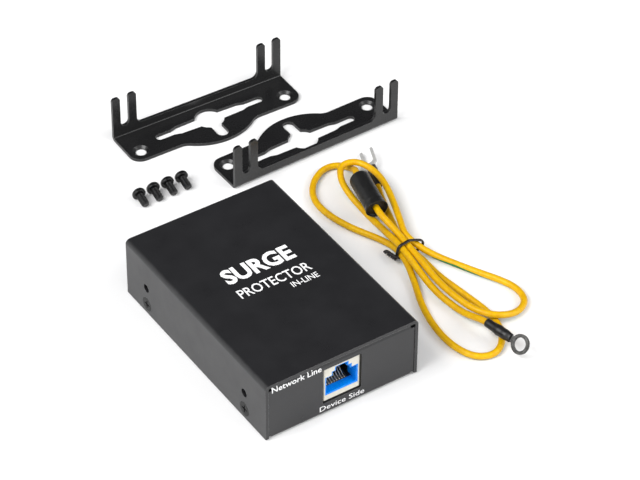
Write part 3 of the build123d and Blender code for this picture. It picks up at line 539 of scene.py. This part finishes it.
# Plated metals: the default edge setting paints a highlight along the edges; the ring terminal's setting
# paints its edges dark, a painted shade.
ZINC = plated("zinc_plate", (0.62, 0.62, 0.60), 0.3)
TIN = plated("tin_plate", (0.66, 0.66, 0.65), 0.32, (0.3, 2, 2))
TERMINAL = plated("tin_terminal", (0.13, 0.13, 0.125), 0.36, (0.6, 0.6, 2), 0.35, 0.9, (0.05, 0.95), 0.35)
FORK = plated("tin_fork", (0.50, 0.50, 0.49), 0.4, (0.6, 0.6, 2), 0.12, 0.25)
GOLD = plated("gold_flash", (0.86, 0.78, 0.60), 0.25, (3, 0.3, 3), 0.04, 0.55)
IVORY = moulded("ivory_plastic", (0.60, 0.58, 0.51), 0.36, glow=0.06)
BLUE = moulded("blue_plastic", (0.001, 0.26, 0.86), 0.27, glow=0.12, edge_mm=0.16)
COMB = moulded("black_moulding", (0.014, 0.014, 0.015), 0.4)
FUSE = moulded("fuse_coating", (0.02, 0.16, 0.055), 0.3)
FERRITE = sintered("ferrite_body")
SHRINK = shrink_tube("shrink_sleeve")
TIE = shrink_tube("tie_coating", (0.009, 0.0065, 0.006), 0.34)
INK = screen_ink()

CAD_LOOKS = {
    "base_tray": STEEL_BLACK, "top_cover": STEEL_BLACK,
    "rear_bracket": BRACKET_BLACK, "front_bracket": BRACKET_BLACK,
    "case_screws": CASE_SCREW, "bracket_screws": SCREW_BLACK,
    "case_clinch_nuts": ZINC, "bracket_clinch_nuts": ZINC, "board_standoffs": ZINC, "board_screws": ZINC,
    "ground_nut": ZINC, "ground_screw": ZINC, "ground_washer": ZINC,
    "circuit_board": solder_mask(), "insulating_film": clear_film(),
    "gas_tube_bodies": glazed_ceramic(), "gas_tube_electrodes": TIN, "transient_diodes": COMB,
    "line_fuses": FUSE, "ground_strap": TIN,
    "equipment_jack_housing": IVORY, "line_jack_housing": IVORY,
    "equipment_jack_insert": BLUE, "line_jack_insert": BLUE,
    "equipment_jack_comb": COMB, "line_jack_comb": COMB,
    "equipment_jack_contacts": GOLD, "line_jack_contacts": GOLD,
    "equipment_jack_pins": TIN, "line_jack_pins": TIN,
    "wire_core": stranded_copper(), "ferrite_core": FERRITE,
    "fork_terminal": FORK, "ring_terminal": TERMINAL,
}
for node, look in CAD_LOOKS.items():
    mesh = NODES[node].data
    mesh.materials.clear()
    mesh.materials.append(look)


# ---------------------------------------------------------------- ground lead
WIRE_R = 1.2            # millimetres, as is everything in this section
LEAD_POINTS = 1500      # stations along the lead
# The lead's centre line from the fork terminal to the ring terminal, one list for each stretch.
FORK_STRETCH = [(75.2, 46.9, 1.9), (74.0, 44.1, 1.9), (72.7, 41.2, 1.9), (70.2, 34.5, 1.4),
                (67.9, 27.4, 1.25), (65.8, 21.0, 1.25), (63.9, 14.5, 1.4)]
LOWER_LOOP = [(63.0, 7.0, 2.2), (63.8, 0.0, 1.5), (63.9, -8.0, 1.25), (64.8, -16.0, 1.25),
              (65.9, -24.0, 1.25), (66.8, -32.0, 1.25), (66.5, -38.5, 1.25), (64.6, -44.0, 1.25),
              (61.0, -48.9, 1.25), (56.0, -51.2, 1.25), (51.2, -49.4, 1.25), (48.2, -44.4, 1.25),
              (47.0, -36.0, 1.25), (48.2, -25.5, 1.25), (51.0, -16.0, 1.25), (54.5, -7.5, 1.4),
              (58.8, 7.0, 2.2)]
LEFT_LOOP = [(59.2, 13.0, 1.4), (57.4, 19.2, 1.25), (54.3, 26.0, 1.25), (51.4, 34.0, 1.25),
             (50.0, 42.0, 1.25), (50.6, 49.0, 1.25), (54.0, 55.4, 1.25), (59.4, 60.0, 1.25),
             (65.0, 61.6, 1.25), (69.3, 59.6, 1.3), (71.0, 55.6, 2.0), (69.8, 51.8, 4.5),
             (67.8, 48.3, 6.6)]
FERRITE_STRETCH = [(66.7, 45.0, 7.0), (64.7, 36.9, 7.0), (62.7, 28.8, 7.0)]
RIGHT_LOOP = [(61.9, 24.0, 6.8), (62.1, 17.5, 5.8), (61.7, 7.0, 4.9), (60.9, -3.0, 4.5),
              (60.3, -11.0, 4.0), (60.2, -18.0, 3.9), (60.9, -25.5, 3.9), (62.4, -32.0, 3.9),
              (66.0, -37.6, 3.9), (70.8, -39.3, 2.9), (76.0, -38.6, 1.7), (80.8, -35.2, 1.25),
              (82.3, -29.5, 1.25), (80.2, -22.0, 1.25), (76.0, -14.0, 1.25), (72.0, -6.0, 1.3),
              (68.3, 1.6, 1.75), (65.5, 7.0, 3.4)]
RIGHT_UPPER_LOOP = [(64.6, 12.4, 4.5), (66.6, 18.2, 4.4), (69.6, 25.6, 4.4), (72.4, 33.6, 4.8),
                    (74.2, 40.5, 5.1), (74.7, 46.0, 5.15), (73.9, 51.2, 5.2), (71.2, 55.2, 5.2),
                    (67.4, 56.0, 4.9), (64.2, 53.0, 4.4), (62.0, 46.6, 3.4), (61.7, 40.7, 2.2),
                    (61.8, 34.2, 1.35), (61.7, 29.4, 1.25), (61.6, 25.0, 1.4), (60.0, 17.0, 3.8)]
RING_STRETCH = [(59.1, 7.0, 4.8), (58.4, 0.0, 4.4), (57.8, -8.0, 3.2), (57.7, -16.0, 2.2),
                (58.5, -24.0, 1.8), (59.5, -31.0, 2.4), (60.5, -37.0, 4.2), (61.3, -40.9, 4.75),
                (61.7, -43.05, 4.75), (62.1, -45.2, 4.75)]
# Where the green stripe comes round into view: a place on the lead, and the length over which it shows.
STRIPE_SHOWS = [((54.0, 55.4, 1.3), 7.0), ((73.0, -8.0, 1.3), 13.0), ((64.6, -44.0, 1.3), 6.0)]
ROUTE = FORK_STRETCH + LOWER_LOOP + LEFT_LOOP + FERRITE_STRETCH + RIGHT_LOOP + RIGHT_UPPER_LOOP + RING_STRETCH


TOWARDS_VIEWER = (-0.56, -0.83, 0.0)


def ground_lead():
    """Insulation of the whole lead. Returns its centre line, for the sleeves."""
    path = spline_points(ROUTE, LEAD_POINTS)

    def wall(i, a):
        p = path[i] * 0.9
        small = noise.noise(Vector((p[0] + math.cos(a), p[1] + math.sin(a), p[2])))
        return WIRE_R + 0.012 * small - 0.012

    tangent = np.gradient(path, axis=0)
    tangent /= np.linalg.norm(tangent, axis=1)[:, None]
    step = float(np.linalg.norm(path[1] - path[0]))
    shows = []
    for place, spread in STRIPE_SHOWS:
        centre = int(np.argmin(np.linalg.norm(path - np.array(place), axis=1)))
        shows.append((centre * step, spread))

    def roll(i):
        """The stripe faces the bench. In a few stretches it comes round towards the box."""
        across = np.cross(tangent[i], (0.0, 0.0, -1.0))
        facing = float(across @ np.array(TOWARDS_VIEWER))
        amount = sum(math.exp(-((i * step - centre) / spread) ** 2) for centre, spread in shows)
        wander = 0.16 * math.sin(0.031 * i)
        return (-0.12 + 1.3 * min(1.0, amount)) * facing / math.sqrt(facing ** 2 + 0.05) + wander * 0.5

    wire = sweep("ground_wire", path, wall, 22, roll=roll)
    finish_piece(wire, insulated_wire(), "ground_lead", ["wire_insulation"])
    return path


FERRITE_LENGTH = 15.0


def ferrite_sleeve(path):
    """Heat-shrink over the ferrite: drawn in at the top; below it runs past the core and ends in an open lip
    round a sunken web, where the wire comes out."""
    a, b = np.array(FERRITE_STRETCH[0]), np.array(FERRITE_STRETCH[-1])
    axis = unit(b - a)
    up = np.array([0.0, 0.0, 1.0])
    side = np.cross(axis, up)
    start = (a + b) / 2 - axis * FERRITE_LENGTH / 2
    along_axis = (path - start) @ axis
    beside = np.linalg.norm((path - start) - np.outer(along_axis, axis), axis=1)
    own = np.where((beside < 2.0) & (along_axis > -3) & (along_axis < 20))[0]

    def wire_offset(t):
        nearest = own[np.argmin(np.abs(along_axis[own] - t))]
        return path[nearest] - start - axis * along_axis[nearest]

    sides = 72
    # Each station: distance along the core, radius, slackness of the skirt, how far it centres on the wire.
    outer = [(-1.12, 1.32, 0, 1), (-1.2, 1.5, 0, 1), (-1.18, 1.8, 0, 0.8), (-1.05, 2.3, 0, 0.4),
             (-0.92, 2.8, 0, 0), (-0.68, 3.2, 0, 0), (-0.35, 3.52, 0, 0), (0.05, 3.72, 0, 0),
             (0.5, 3.81, 0, 0), (1.2, 3.83, 0, 0), (2.5, 3.82, 0, 0), (4, 3.81, 0, 0), (6, 3.8, 0, 0),
             (8, 3.8, 0, 0), (10, 3.8, 0, 0), (12, 3.81, 0, 0), (13.6, 3.82, 0, 0), (14.5, 3.86, 0, 0),
             (14.95, 3.88, 0.02, 0), (15.2, 3.83, 0.05, 0), (15.5, 3.79, 0.12, 0), (16.0, 3.82, 0.3, 0),
             (16.6, 3.9, 0.55, 0), (17.2, 3.97, 0.85, 0), (17.5, 4.0, 1.0, 0), (17.62, 3.96, 1.0, 0)]
    inner = [(17.62, 3.82, 1.0, 0), (17.45, 3.72, 0.9, 0), (17.0, 3.62, 0.6, 0), (16.6, 3.55, 0.4, 0),
             (16.45, 3.42, 0.3, 0), (16.4, 3.1, 0.2, 0), (16.42, 2.4, 0.1, 0.3), (16.5, 1.9, 0, 0.7),
             (16.62, 1.6, 0, 1), (16.66, 1.42, 0, 1), (16.6, 1.32, 0, 1), (15.9, 1.32, 0, 1),
             (15.7, 1.6, 0, 1), (15.6, 2.6, 0, 0.3), (15.5, 3.3, 0, 0), (15.05, 3.47, 0, 0),
             (8, 3.46, 0, 0), (0.0, 3.46, 0, 0), (-0.12, 3.2, 0, 0), (-0.3, 2.5, 0, 0.3),
             (-0.5, 1.7, 0, 0.8), (-0.7, 1.32, 0, 1)]
    rings = []
    for t, r, slack, hug in outer + inner:
        ring = []
        shift = wire_offset(t) * hug
        for j in range(sides):
            q = 2 * math.pi * j / sides
            free = min(1.0, max(0.0, (r - 1.6) / 1.6))
            wrinkle = 0.06 * noise.noise(Vector((2.2 * math.cos(q), 2.2 * math.sin(q), t * 0.35)))
            ridge = 0.022 * math.sin(7 * q + 1.3 * math.sin(t * 0.5)) * max(0.0, 1 - abs(t - 0.4) / 2.2)
            fold = 0.07 * slack * math.sin(3 * q + 0.7)
            seam = 0.045 * math.exp(-((q - 1.05) / 0.06) ** 2)
            radial = r + free * (wrinkle * (0.4 + slack) + ridge + fold + seam)
            oblique = 0.32 * slack * math.sin(q + 0.4) + 0.1 * slack * math.sin(2 * q + 0.5)
            ring.append(start + shift + axis * (t + oblique)
                        + side * radial * (1 + 0.05 * slack) * math.cos(q)
                        + up * radial * (1 - 0.06 * slack) * math.sin(q))
        rings.append(ring)
    sleeve = loft("ferrite_shrink", rings, "joined")
    finish_piece(sleeve, SHRINK, "ground_lead", ["ferrite_sleeve"])


def terminal_sleeve(name, end, inward, roll, node):
    """Heat-shrink over a crimp: snug on the wire, swollen over the barrel and flattened on the tongue."""
    axis = -unit(inward)
    up = np.array([0.0, 0.0, 1.0])
    side = np.cross(up, axis)
    side, up = (side * math.cos(roll) + up * math.sin(roll), up * math.cos(roll) - side * math.sin(roll))
    end = np.array(end)
    sides = 40
    # Each station: distance past the wire's end, half width, half height.
    outer = [(-5.0, 1.42, 1.42), (-4.9, 1.52, 1.52), (-4.6, 1.58, 1.58), (-3.5, 1.58, 1.6), (-2.2, 1.6, 1.62),
             (-1.2, 1.66, 1.68), (-0.4, 1.8, 1.78), (0.2, 1.92, 1.86), (0.9, 1.95, 1.9), (1.7, 1.84, 1.76),
             (2.3, 1.80, 1.70), (3.0, 1.86, 1.78), (3.8, 1.88, 1.80), (4.5, 1.78, 1.66), (5.0, 1.66, 1.42),
             (5.4, 1.62, 1.20), (5.8, 1.62, 1.08), (6.1, 1.60, 1.02), (6.2, 1.54, 0.94)]
    inner = [(6.2, 1.36, 0.66), (5.8, 1.3, 0.62), (5.2, 1.32, 0.8), (4.7, 1.38, 1.2), (3.5, 1.42, 1.3),
             (0.5, 1.42, 1.34), (-2.0, 1.32, 1.32), (-4.9, 1.26, 1.26)]
    rings = []
    for t, w, h in outer + inner:
        ring = []
        for j in range(sides):
            q = 2 * math.pi * j / sides
            ripple = 0.025 * noise.noise(Vector((3 * math.cos(q), 3 * math.sin(q), t * 0.9 + roll)))
            ring.append(end + axis * t + side * (w + ripple) * math.cos(q) + up * (h + ripple) * math.sin(q))
        rings.append(ring)
    sleeve = loft(name, rings, "joined")
    finish_piece(sleeve, SHRINK, "ground_lead", [node])


def twist_tie():
    """Coated wire wound once round the bundle; its ends are twisted into a short tail.
    The loop is an outline at a fixed reach round the outermost strands, which are its corners."""
    centre = (62.15, 7.0, 3.6)
    corners = [(-3.35, -1.4), (1.1, -1.4), (3.9, -0.15), (-0.35, 1.5), (-3.05, 1.2)]
    reach = 1.71
    half_width, half_thickness = 0.6, 0.4
    loop = []
    for k in range(5):
        (x0, z0), (x1, z1), (x2, z2) = corners[k - 1], corners[k], corners[(k + 1) % 5]
        first = math.atan2(-(x1 - x0), z1 - z0)
        last = math.atan2(-(x2 - x1), z2 - z1)
        while last < first:
            last += 2 * math.pi
        for step in range(9):
            q = first + (last - first) * step / 8
            loop.append((x1 + reach * math.cos(q), z1 + reach * math.sin(q)))
    closed = np.array(loop + loop[:1])
    s = np.concatenate([[0], np.cumsum(np.linalg.norm(np.diff(closed, axis=0), axis=1))])
    path = []
    for t in np.linspace(0, s[-1], 150, endpoint=False):
        x = np.interp(t, s, closed[:, 0])
        z = np.interp(t, s, closed[:, 1])
        path.append((centre[0] + x, centre[1] - 0.05 * x + 0.25 * math.sin(t * 0.45), centre[2] + z))

    def band(i, a):
        return 1 / math.hypot(math.cos(a) / half_width, math.sin(a) / half_thickness)

    ring = sweep("tie_loop", path, band, 18, down=(0, 1, 0), closed=True)
    coil_r, tail_r, turns, length = 0.49, 0.42, 3.0, 7.0
    start = (centre[0] - 3.35 - reach - 0.45 - coil_r - tail_r - 0.05, centre[1] - 1.6, centre[2] - 0.9)
    parts = [ring]
    for phase, extra in ((0.0, 0.0), (math.pi, 0.35)):
        path = []
        for i in range(121):
            u = i / 120
            q = phase + 2 * math.pi * turns * u
            path.append((start[0] + coil_r * math.cos(q), start[1] + (length - extra) * u,
                         start[2] - 1.4 * u + coil_r * math.sin(q)))
        parts.append(sweep("tie_tail", path, lambda i, a: tail_r, 14, down=(1, 0, 0.1)))
    joined("twist_tie_wire", parts)
    finish_piece(ring, TIE, "ground_lead", ["twist_tie"])


LEAD_PATH = ground_lead()
ferrite_sleeve(LEAD_PATH)
FORK_ROLL, RING_ROLL = math.radians(-30), math.radians(54)
terminal_sleeve("fork_shrink", LEAD_PATH[0], LEAD_PATH[4] - LEAD_PATH[0], FORK_ROLL, "fork_sleeve")
terminal_sleeve("ring_shrink", LEAD_PATH[-1], LEAD_PATH[-5] - LEAD_PATH[-1], RING_ROLL, "ring_sleeve")
twist_tie()


# ---------------------------------------------------------------- inside the jacks
JACK_FACE = -43.15      # y of the equipment jack's front face
CONTACT_PITCH = 1.02
CONTACT_R = 0.185
LIP_HALF = 5.93
RIB_HALF = 0.17


def jack_insides(end, turn):
    """Round spring wires of one jack, and the toothed lip of their carrier that covers the back of the floor.
    Profiles are pairs of depth behind the jack's face and height."""
    line = [(3.5, 8.68), (4.1, 8.74), (4.8, 9.0), (5.7, 9.62), (6.8, 10.4), (8.0, 11.05), (9.4, 11.5),
            (11.2, 11.7), (13.1, 11.76)]

    def spin(x, y, z):
        return (turn * x, turn * y, z)

    wires = []
    for i in range(8):
        x = (i - 3.5) * CONTACT_PITCH
        path = spline_points([spin(x, JACK_FACE + d, z) for d, z in line], 48)
        wires.append(sweep("contact", path, lambda i, a: CONTACT_R, 12, down=(0.05, 0, -1)))
    joined(end + "_contact_wires", wires)
    finish_piece(wires[0], GOLD, end + "_contacts", [end + "_jack_contacts"])

    verts, faces = [], []

    def prism(x0, x1, profile):
        first, count = len(verts), len(profile)
        verts.extend(spin(x0, JACK_FACE + d, z) for d, z in profile)
        verts.extend(spin(x1, JACK_FACE + d, z) for d, z in profile)
        faces.append(tuple(range(first, first + count)))
        faces.append(tuple(range(first + 2 * count - 1, first + count - 1, -1)))
        for k in range(count):
            k2 = (k + 1) % count
            faces.append((first + k, first + count + k, first + count + k2, first + k2))

    prism(-LIP_HALF, LIP_HALF, [(3.3, 8.405), (3.4, 8.47), (5.44, 8.47), (5.44, 8.405)])
    for i in range(9):
        x = (i - 4) * CONTACT_PITCH
        rib = [(3.36, 8.45), (3.5, 8.62), (5.2, 9.75), (5.44, 9.8), (5.44, 8.45)]
        prism(x - RIB_HALF, x + RIB_HALF, rib)
    lip = mesh_object(end + "_comb_lip", verts, faces, False)
    fix_normals(lip)
    finish_piece(lip, COMB, "box")


jack_insides("equipment", 1)
jack_insides("line", -1)


# ---------------------------------------------------------------- loose screws
def cut_away(obj, cutter):
    """Subtracts cutter from obj and removes the cutter."""
    tool = obj.modifiers.new("cut", "BOOLEAN")
    tool.operation = "DIFFERENCE"
    tool.solver = "EXACT"
    tool.object = cutter
    bpy.context.view_layer.update()
    result = bpy.data.meshes.new_from_object(obj.evaluated_get(bpy.context.evaluated_depsgraph_get()))
    obj.modifiers.clear()
    obj.data = result
    bpy.data.objects.remove(cutter)


SCREW_LENGTH = 5.0
SCREW_PITCH = 0.5
HEAD_R = 2.5
ROOT_R, THREAD_DEPTH = 1.22, 0.26
REST_R = 1.45           # where the shank's end touches the bench
FIRST_SCREW, SCREW_STEP = (-0.8, 84.2), 5.9


def machine_screw(seat, axis):
    """Pan-head machine screw with a rolled thread and a cross recess. The shank runs from seat along axis."""
    axis = unit(axis)
    side = unit(np.cross(axis, (0.0, 0.0, 1.0)))
    up = np.cross(side, axis)
    seat = np.array(seat, float)
    sides = 36

    def place(u, radius, q):
        return seat + axis * u + side * radius * math.cos(q) + up * radius * math.sin(q)

    # The head's outline: distance along the axis and radius.
    head_line = [(0.06, 2.3), (0.0, 2.38), (-0.12, 2.47), (-0.5, HEAD_R), (-0.95, 2.47), (-1.3, 2.36),
                 (-1.6, 2.13), (-1.82, 1.78), (-1.94, 1.35), (-1.99, 0.8), (-2.0, 0.3)]
    rings = [[place(u, r, 2 * math.pi * j / sides) for j in range(sides)] for u, r in head_line]
    head = loft("screw_head", rings, "capped")
    cross = []
    half, reach, depth = 0.27, 1.3, 1.1
    outline = [(half, half), (reach, half), (reach, -half), (half, -half), (half, -reach), (-half, -reach),
               (-half, -half), (-reach, -half), (-reach, half), (-half, half), (-half, reach), (half, reach)]
    for u, shrink in ((-2.3, 1.05), (-2.0 + depth, 0.62)):
        cross.append([seat + axis * u
                      + side * (x * 0.85 + y * 0.53) * shrink
                      + up * (y * 0.85 - x * 0.53) * shrink for x, y in outline])
    cut_away(head, loft("screw_recess", cross, "capped"))
    head.data.polygons.foreach_set("use_smooth", [False] * len(head.data.polygons))
    turns = []
    steps = int(SCREW_LENGTH / SCREW_PITCH * 8)
    for i in range(steps + 1):
        u = -0.1 + (SCREW_LENGTH + 0.1) * i / steps
        tip = max(0.0, u - (SCREW_LENGTH - 0.45)) * 0.75
        ring = []
        for j in range(sides):
            phase = (u / SCREW_PITCH - j / sides) % 1.0
            crest = 1 - abs(2 * phase - 1)
            runout = min(1.0, max(0.0, (u - 0.25) / 0.3))
            radius = ROOT_R + THREAD_DEPTH * min(1.0, crest * 1.35) * runout - tip * 0.6
            ring.append(place(u, radius, 2 * math.pi * j / sides))
        turns.append(ring)
    shank = loft("screw_shank", turns, "capped")
    return [head, shank]


def loose_screws():
    """Four screws in a row, each resting on its head's rim and its shank's end."""
    tilt = math.asin((HEAD_R - REST_R) / SCREW_LENGTH)
    turn = math.radians(4.0)
    axis = (-math.sin(turn) * math.cos(tilt), -math.cos(turn) * math.cos(tilt), -math.sin(tilt))
    parts = []
    for i in range(4):
        seat = (FIRST_SCREW[0] + SCREW_STEP * i, FIRST_SCREW[1], HEAD_R * math.cos(tilt) + 0.02)
        parts += machine_screw(seat, axis)
    row = joined("loose_screws", parts)
    finish_piece(row, SCREW_BLACK, "bracket_screws", ["bracket_screws"])


loose_screws()


# ---------------------------------------------------------------- generic print on the case
INK_THICKNESS = 0.03
CASE_TOP = 24.0
PLATE_FACE = -43.55     # y of the equipment end plate
PLATE_BEND_R = 1.6
PLATE_BEND_START = 21.1


def printed(name, text, width, height, place, bold=0.0, bands=1):
    """Printed words, fitted to width by height millimetres and turned into a thin mesh.
    More bands cut the letters into strips, so that they can follow a bend."""
    curve = bpy.data.curves.new(name, "FONT")
    curve.body = text
    curve.size = 1.0
    curve.align_x = "LEFT"
    curve.offset = bold
    curve.extrude = 0.02
    curve.resolution_u = 3
    obj = bpy.data.objects.new(name, curve)
    bpy.context.scene.collection.objects.link(obj)
    bpy.context.view_layer.update()
    depsgraph = bpy.context.evaluated_depsgraph_get()
    mesh = bpy.data.meshes.new_from_object(obj.evaluated_get(depsgraph))
    bpy.data.objects.remove(obj)
    co = np.array([v.co for v in mesh.vertices])
    low, high = co.min(0), co.max(0)
    scaled = (co - low) / (high - low)
    scaled[:, 0] *= width
    scaled[:, 1] *= height
    scaled[:, 2] *= INK_THICKNESS
    for vertex, flat in zip(mesh.vertices, scaled):
        vertex.co = flat
    work = bmesh.new()
    work.from_mesh(mesh)
    for band in range(1, bands):
        bmesh.ops.bisect_plane(work, geom=work.verts[:] + work.edges[:] + work.faces[:], dist=1e-6,
                               plane_co=(0, height * band / bands, 0), plane_no=(0, 1, 0))
    for vertex in work.verts:
        vertex.co = place(*vertex.co)
    bmesh.ops.remove_doubles(work, verts=work.verts, dist=1e-7)
    bmesh.ops.recalc_face_normals(work, faces=work.faces)
    work.to_mesh(mesh)
    work.free()
    piece = bpy.data.objects.new(name, mesh)
    bpy.context.scene.collection.objects.link(piece)
    finish_piece(piece, INK, "box")


def on_top(x0, y0):
    """Place on the cover."""
    return lambda x, y, z: Vector(((x0 + x) * MM, (y0 + y) * MM, (CASE_TOP + z) * MM))


def on_front(x0, z0):
    """Place on the equipment end plate, following its upper bend."""
    def place(x, y, z):
        over = max(0.0, z0 + y - PLATE_BEND_START)
        away = PLATE_BEND_R - math.sqrt(PLATE_BEND_R ** 2 - over ** 2)
        return Vector(((x0 + x) * MM, (PLATE_FACE + away - z) * MM, (z0 + y) * MM))
    return place


printed("print_top_large", "SURGE", 27.0, 7.6, on_top(-13.0, 4.6), 0.035)
printed("print_top_second", "PROTECTOR", 28.0, 4.4, on_top(-13.0, -3.4), 0.006)
printed("print_top_small", "IN-LINE", 10.5, 2.6, on_top(4.5, -7.8), 0.004)
printed("print_front_left", "Network Line", 19.2, 2.3, on_front(-27.4, 20.0), 0.008, 12)
printed("print_front_low", "Device Side", 17.6, 2.1, on_front(-8.8, 2.0), 0.0)


# ---------------------------------------------------------------- floor, light, camera
def floor():
    s = Shader("floor_paper")
    s.bump(s.noise(0.8, 3), 0.02, 0.15)
    tone = s.ramp(s.noise(0.02, 2), 0.3, 0.7)
    s.set(Base_Color=s.mix(tone, (0.87, 0.87, 0.87), (0.89, 0.89, 0.89)),
          Roughness=0.75, Specular_IOR_Level=0.2)
    half = 4.0
    mesh = bpy.data.meshes.new("floor")
    z = min(0.0, CAD_BOX[0][2]) - 0.0001
    corners = [(-half, -half, z), (half, -half, z), (half, half, z), (-half, half, z)]
    mesh.from_pydata(corners, [], [(0, 1, 2, 3)])
    mesh.materials.append(s.mat)
    obj = bpy.data.objects.new("floor", mesh)
    bpy.context.scene.collection.objects.link(obj)


def area_light(name, place, target, size, power):
    light = bpy.data.lights.new(name, "AREA")
    light.shape = "RECTANGLE"
    light.size, light.size_y = size
    light.energy = power
    obj = bpy.data.objects.new(name, light)
    bpy.context.scene.collection.objects.link(obj)
    place, target = Vector(place), Vector(target)
    aim = (target - place).to_track_quat("-Z", "Y").to_matrix().to_4x4()
    obj.matrix_world = Matrix.Translation(place) @ aim


FLAG_DIRECTION = (0.36, 0.60, 0.715)
FLAG_COLOUR = (0.10, 0.10, 0.105, 1)


def world(strength):
    w = bpy.data.worlds.new("studio")
    bpy.context.scene.world = w
    w.use_nodes = True
    nodes, links = w.node_tree.nodes, w.node_tree.links
    background = nodes["Background"]
    coords = nodes.new("ShaderNodeTexCoord")
    dot = nodes.new("ShaderNodeVectorMath")
    dot.operation = "DOT_PRODUCT"
    dot.inputs[1].default_value = FLAG_DIRECTION
    ramp = nodes.new("ShaderNodeValToRGB")
    links.new(coords.outputs["Generated"], dot.inputs[0])
    links.new(dot.outputs["Value"], ramp.inputs[0])
    links.new(ramp.outputs[0], background.inputs["Color"])
    ramp.color_ramp.elements[0].position = 0.25
    ramp.color_ramp.elements[0].color = (1, 1, 1, 1)
    ramp.color_ramp.elements[1].position = 0.8
    ramp.color_ramp.elements[1].color = FLAG_COLOUR
    background.inputs["Strength"].default_value = strength


CAMERA_TARGET = (0.0408, 0.0309, 0.0)
CAMERA_DISTANCE = 1.0763
CAMERA_LENS = 172.5


def camera():
    """The photo's view: front left of the box, from above."""
    azimuth, elevation, roll = math.radians(-33.9), math.radians(40.5), math.radians(0.44)
    target = Vector(CAMERA_TARGET)
    away = Vector((math.sin(azimuth) * math.cos(elevation), -math.cos(azimuth) * math.cos(elevation),
                   math.sin(elevation)))
    right = Vector((0, 0, 1)).cross(away).normalized()
    up = away.cross(right)
    right, up = (right * math.cos(roll) + up * math.sin(roll), up * math.cos(roll) - right * math.sin(roll))
    data = bpy.data.cameras.new("camera")
    data.lens = CAMERA_LENS
    data.sensor_width = 36.0
    data.clip_start, data.clip_end = 0.01, 20
    obj = bpy.data.objects.new("camera", data)
    bpy.context.scene.collection.objects.link(obj)
    turn = Matrix((right, up, away)).transposed().to_4x4()
    obj.matrix_world = Matrix.Translation(target + away * CAMERA_DISTANCE) @ turn
    bpy.context.scene.camera = obj


view = bpy.context.scene.view_settings
view.view_transform = "Standard"
view.look = "None"
floor()
area_light("key", (-0.75, 0.05, 0.85), (0.02, 0.03, 0), (0.8, 0.8), 13)
area_light("fill", (0.7, -0.6, 0.6), (0.03, 0.02, 0), (0.8, 0.6), 6)
world(1.05)
camera()
